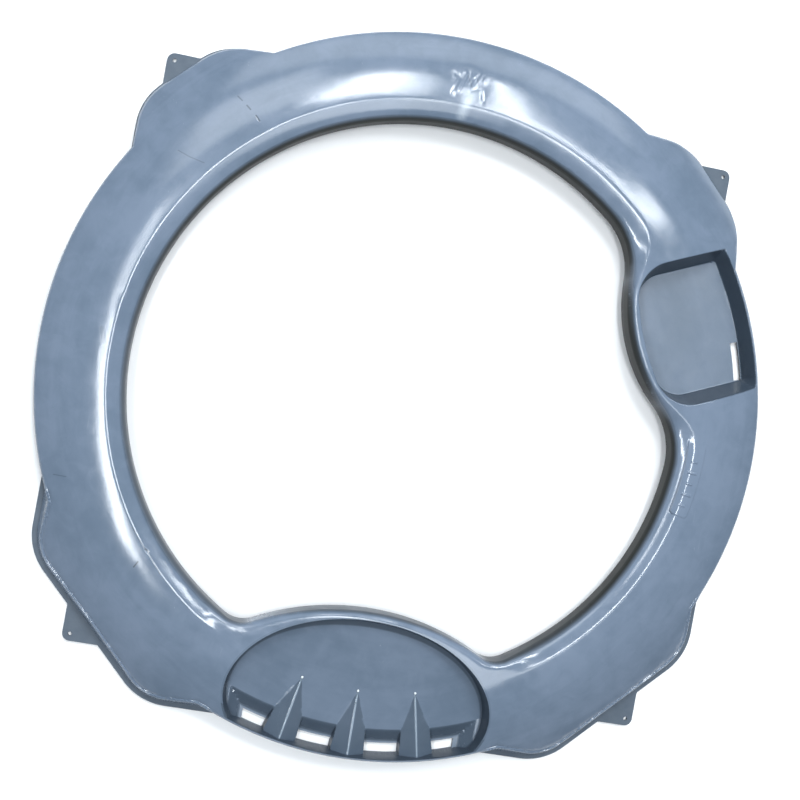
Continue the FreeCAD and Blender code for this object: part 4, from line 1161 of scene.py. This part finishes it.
def panel(name, start, az, el, dist, size, radiance, color=(1, 1, 1)):
    """Soft box seen from start in the direction az, el; size is width by height."""
    a, e = math.radians(az), math.radians(el)
    d = Vector((math.cos(e) * math.cos(a), math.cos(e) * math.sin(a), math.sin(e)))
    L = bpy.data.lights.new(name, "AREA")
    L.shape = "RECTANGLE"
    L.size, L.size_y = size
    L.energy = radiance * math.pi * size[0] * size[1]
    L.color = color
    o = bpy.data.objects.new(name, L)
    o.location = Vector(start) + d * dist
    o.rotation_euler = (-d).to_track_quat("-Z", "Y").to_euler()
    bpy.context.scene.collection.objects.link(o)
    return o


def strip_light(name, loc, az, size, radiance, color=(1, 1, 1)):
    """Long lamp overhead, facing down, its long side along az."""
    L = bpy.data.lights.new(name, "AREA")
    L.shape = "RECTANGLE"
    L.size, L.size_y = size
    L.energy = radiance * math.pi * size[0] * size[1]
    L.color = color
    o = bpy.data.objects.new(name, L)
    o.location = loc
    o.rotation_euler = (0, 0, math.radians(az - 90))
    bpy.context.scene.collection.objects.link(o)
    return o


COOL = (0.92, 0.965, 1.0)
strip_light("window_left", (-0.08, 1.30, 2.0), 90, (0.33, 0.66), 27, COOL)
strip_light("window_right", (0.45, 1.20, 2.0), 84, (0.13, 1.38), 30, COOL)
strip_light("window_side", (1.17, 0.99, 2.0), 42, (0.12, 0.70), 28, COOL)
strip_light("window_mid", (0.70, 0.89, 2.0), -14, (0.10, 0.42), 24, COOL)
strip_light("lamp_left", (-0.66, -0.36, 2.0), 90, (0.21, 0.86), 27, COOL)
strip_light("lamp_left_far", (-0.66, 0.30, 2.0), 90, (0.20, 0.46), 11, COOL)
strip_light("lamp_top", (0.12, -0.01, 2.0), 98, (0.24, 0.64), 23, COOL)
strip_light("front_fill", (0.50, -0.52, 2.0), 90, (0.46, 0.66), 5.0, COOL)
panel("back_glow", (0.0, 0.26, 0.03), 88, 34, 2.6, (3.2, 0.80), 2.1, COOL)
panel("wall_glow", (-0.157, 0.189, 0.032), 118, 55, 2.2, (0.80, 0.80), 3.6, COOL)

# camera: fitted on the photograph's outlines
CAM = dict(x=-0.137035, y=-0.007079, z=1.000944, rx=-0.018772, ry=-0.130724, roll=0.181606, f=1292.825)
cam_data = bpy.data.cameras.new("camera")
cam_data.sensor_fit = "HORIZONTAL"
cam_data.sensor_width = 36.0
cam_data.lens = CAM["f"] / 800.0 * 36.0
cam_data.clip_start, cam_data.clip_end = 0.05, 20.0
cam = bpy.data.objects.new("camera", cam_data)
Rz = Matrix.Rotation(CAM["roll"], 4, "Z")
Ry = Matrix.Rotation(CAM["ry"], 4, "Y")
Rx = Matrix.Rotation(CAM["rx"], 4, "X")
cam.matrix_world = Matrix.Translation((CAM["x"], CAM["y"], CAM["z"])) @ (Rz @ Ry @ Rx)
bpy.context.scene.collection.objects.link(cam)
bpy.context.scene.camera = cam

bpy.context.scene.view_settings.view_transform = "Standard"
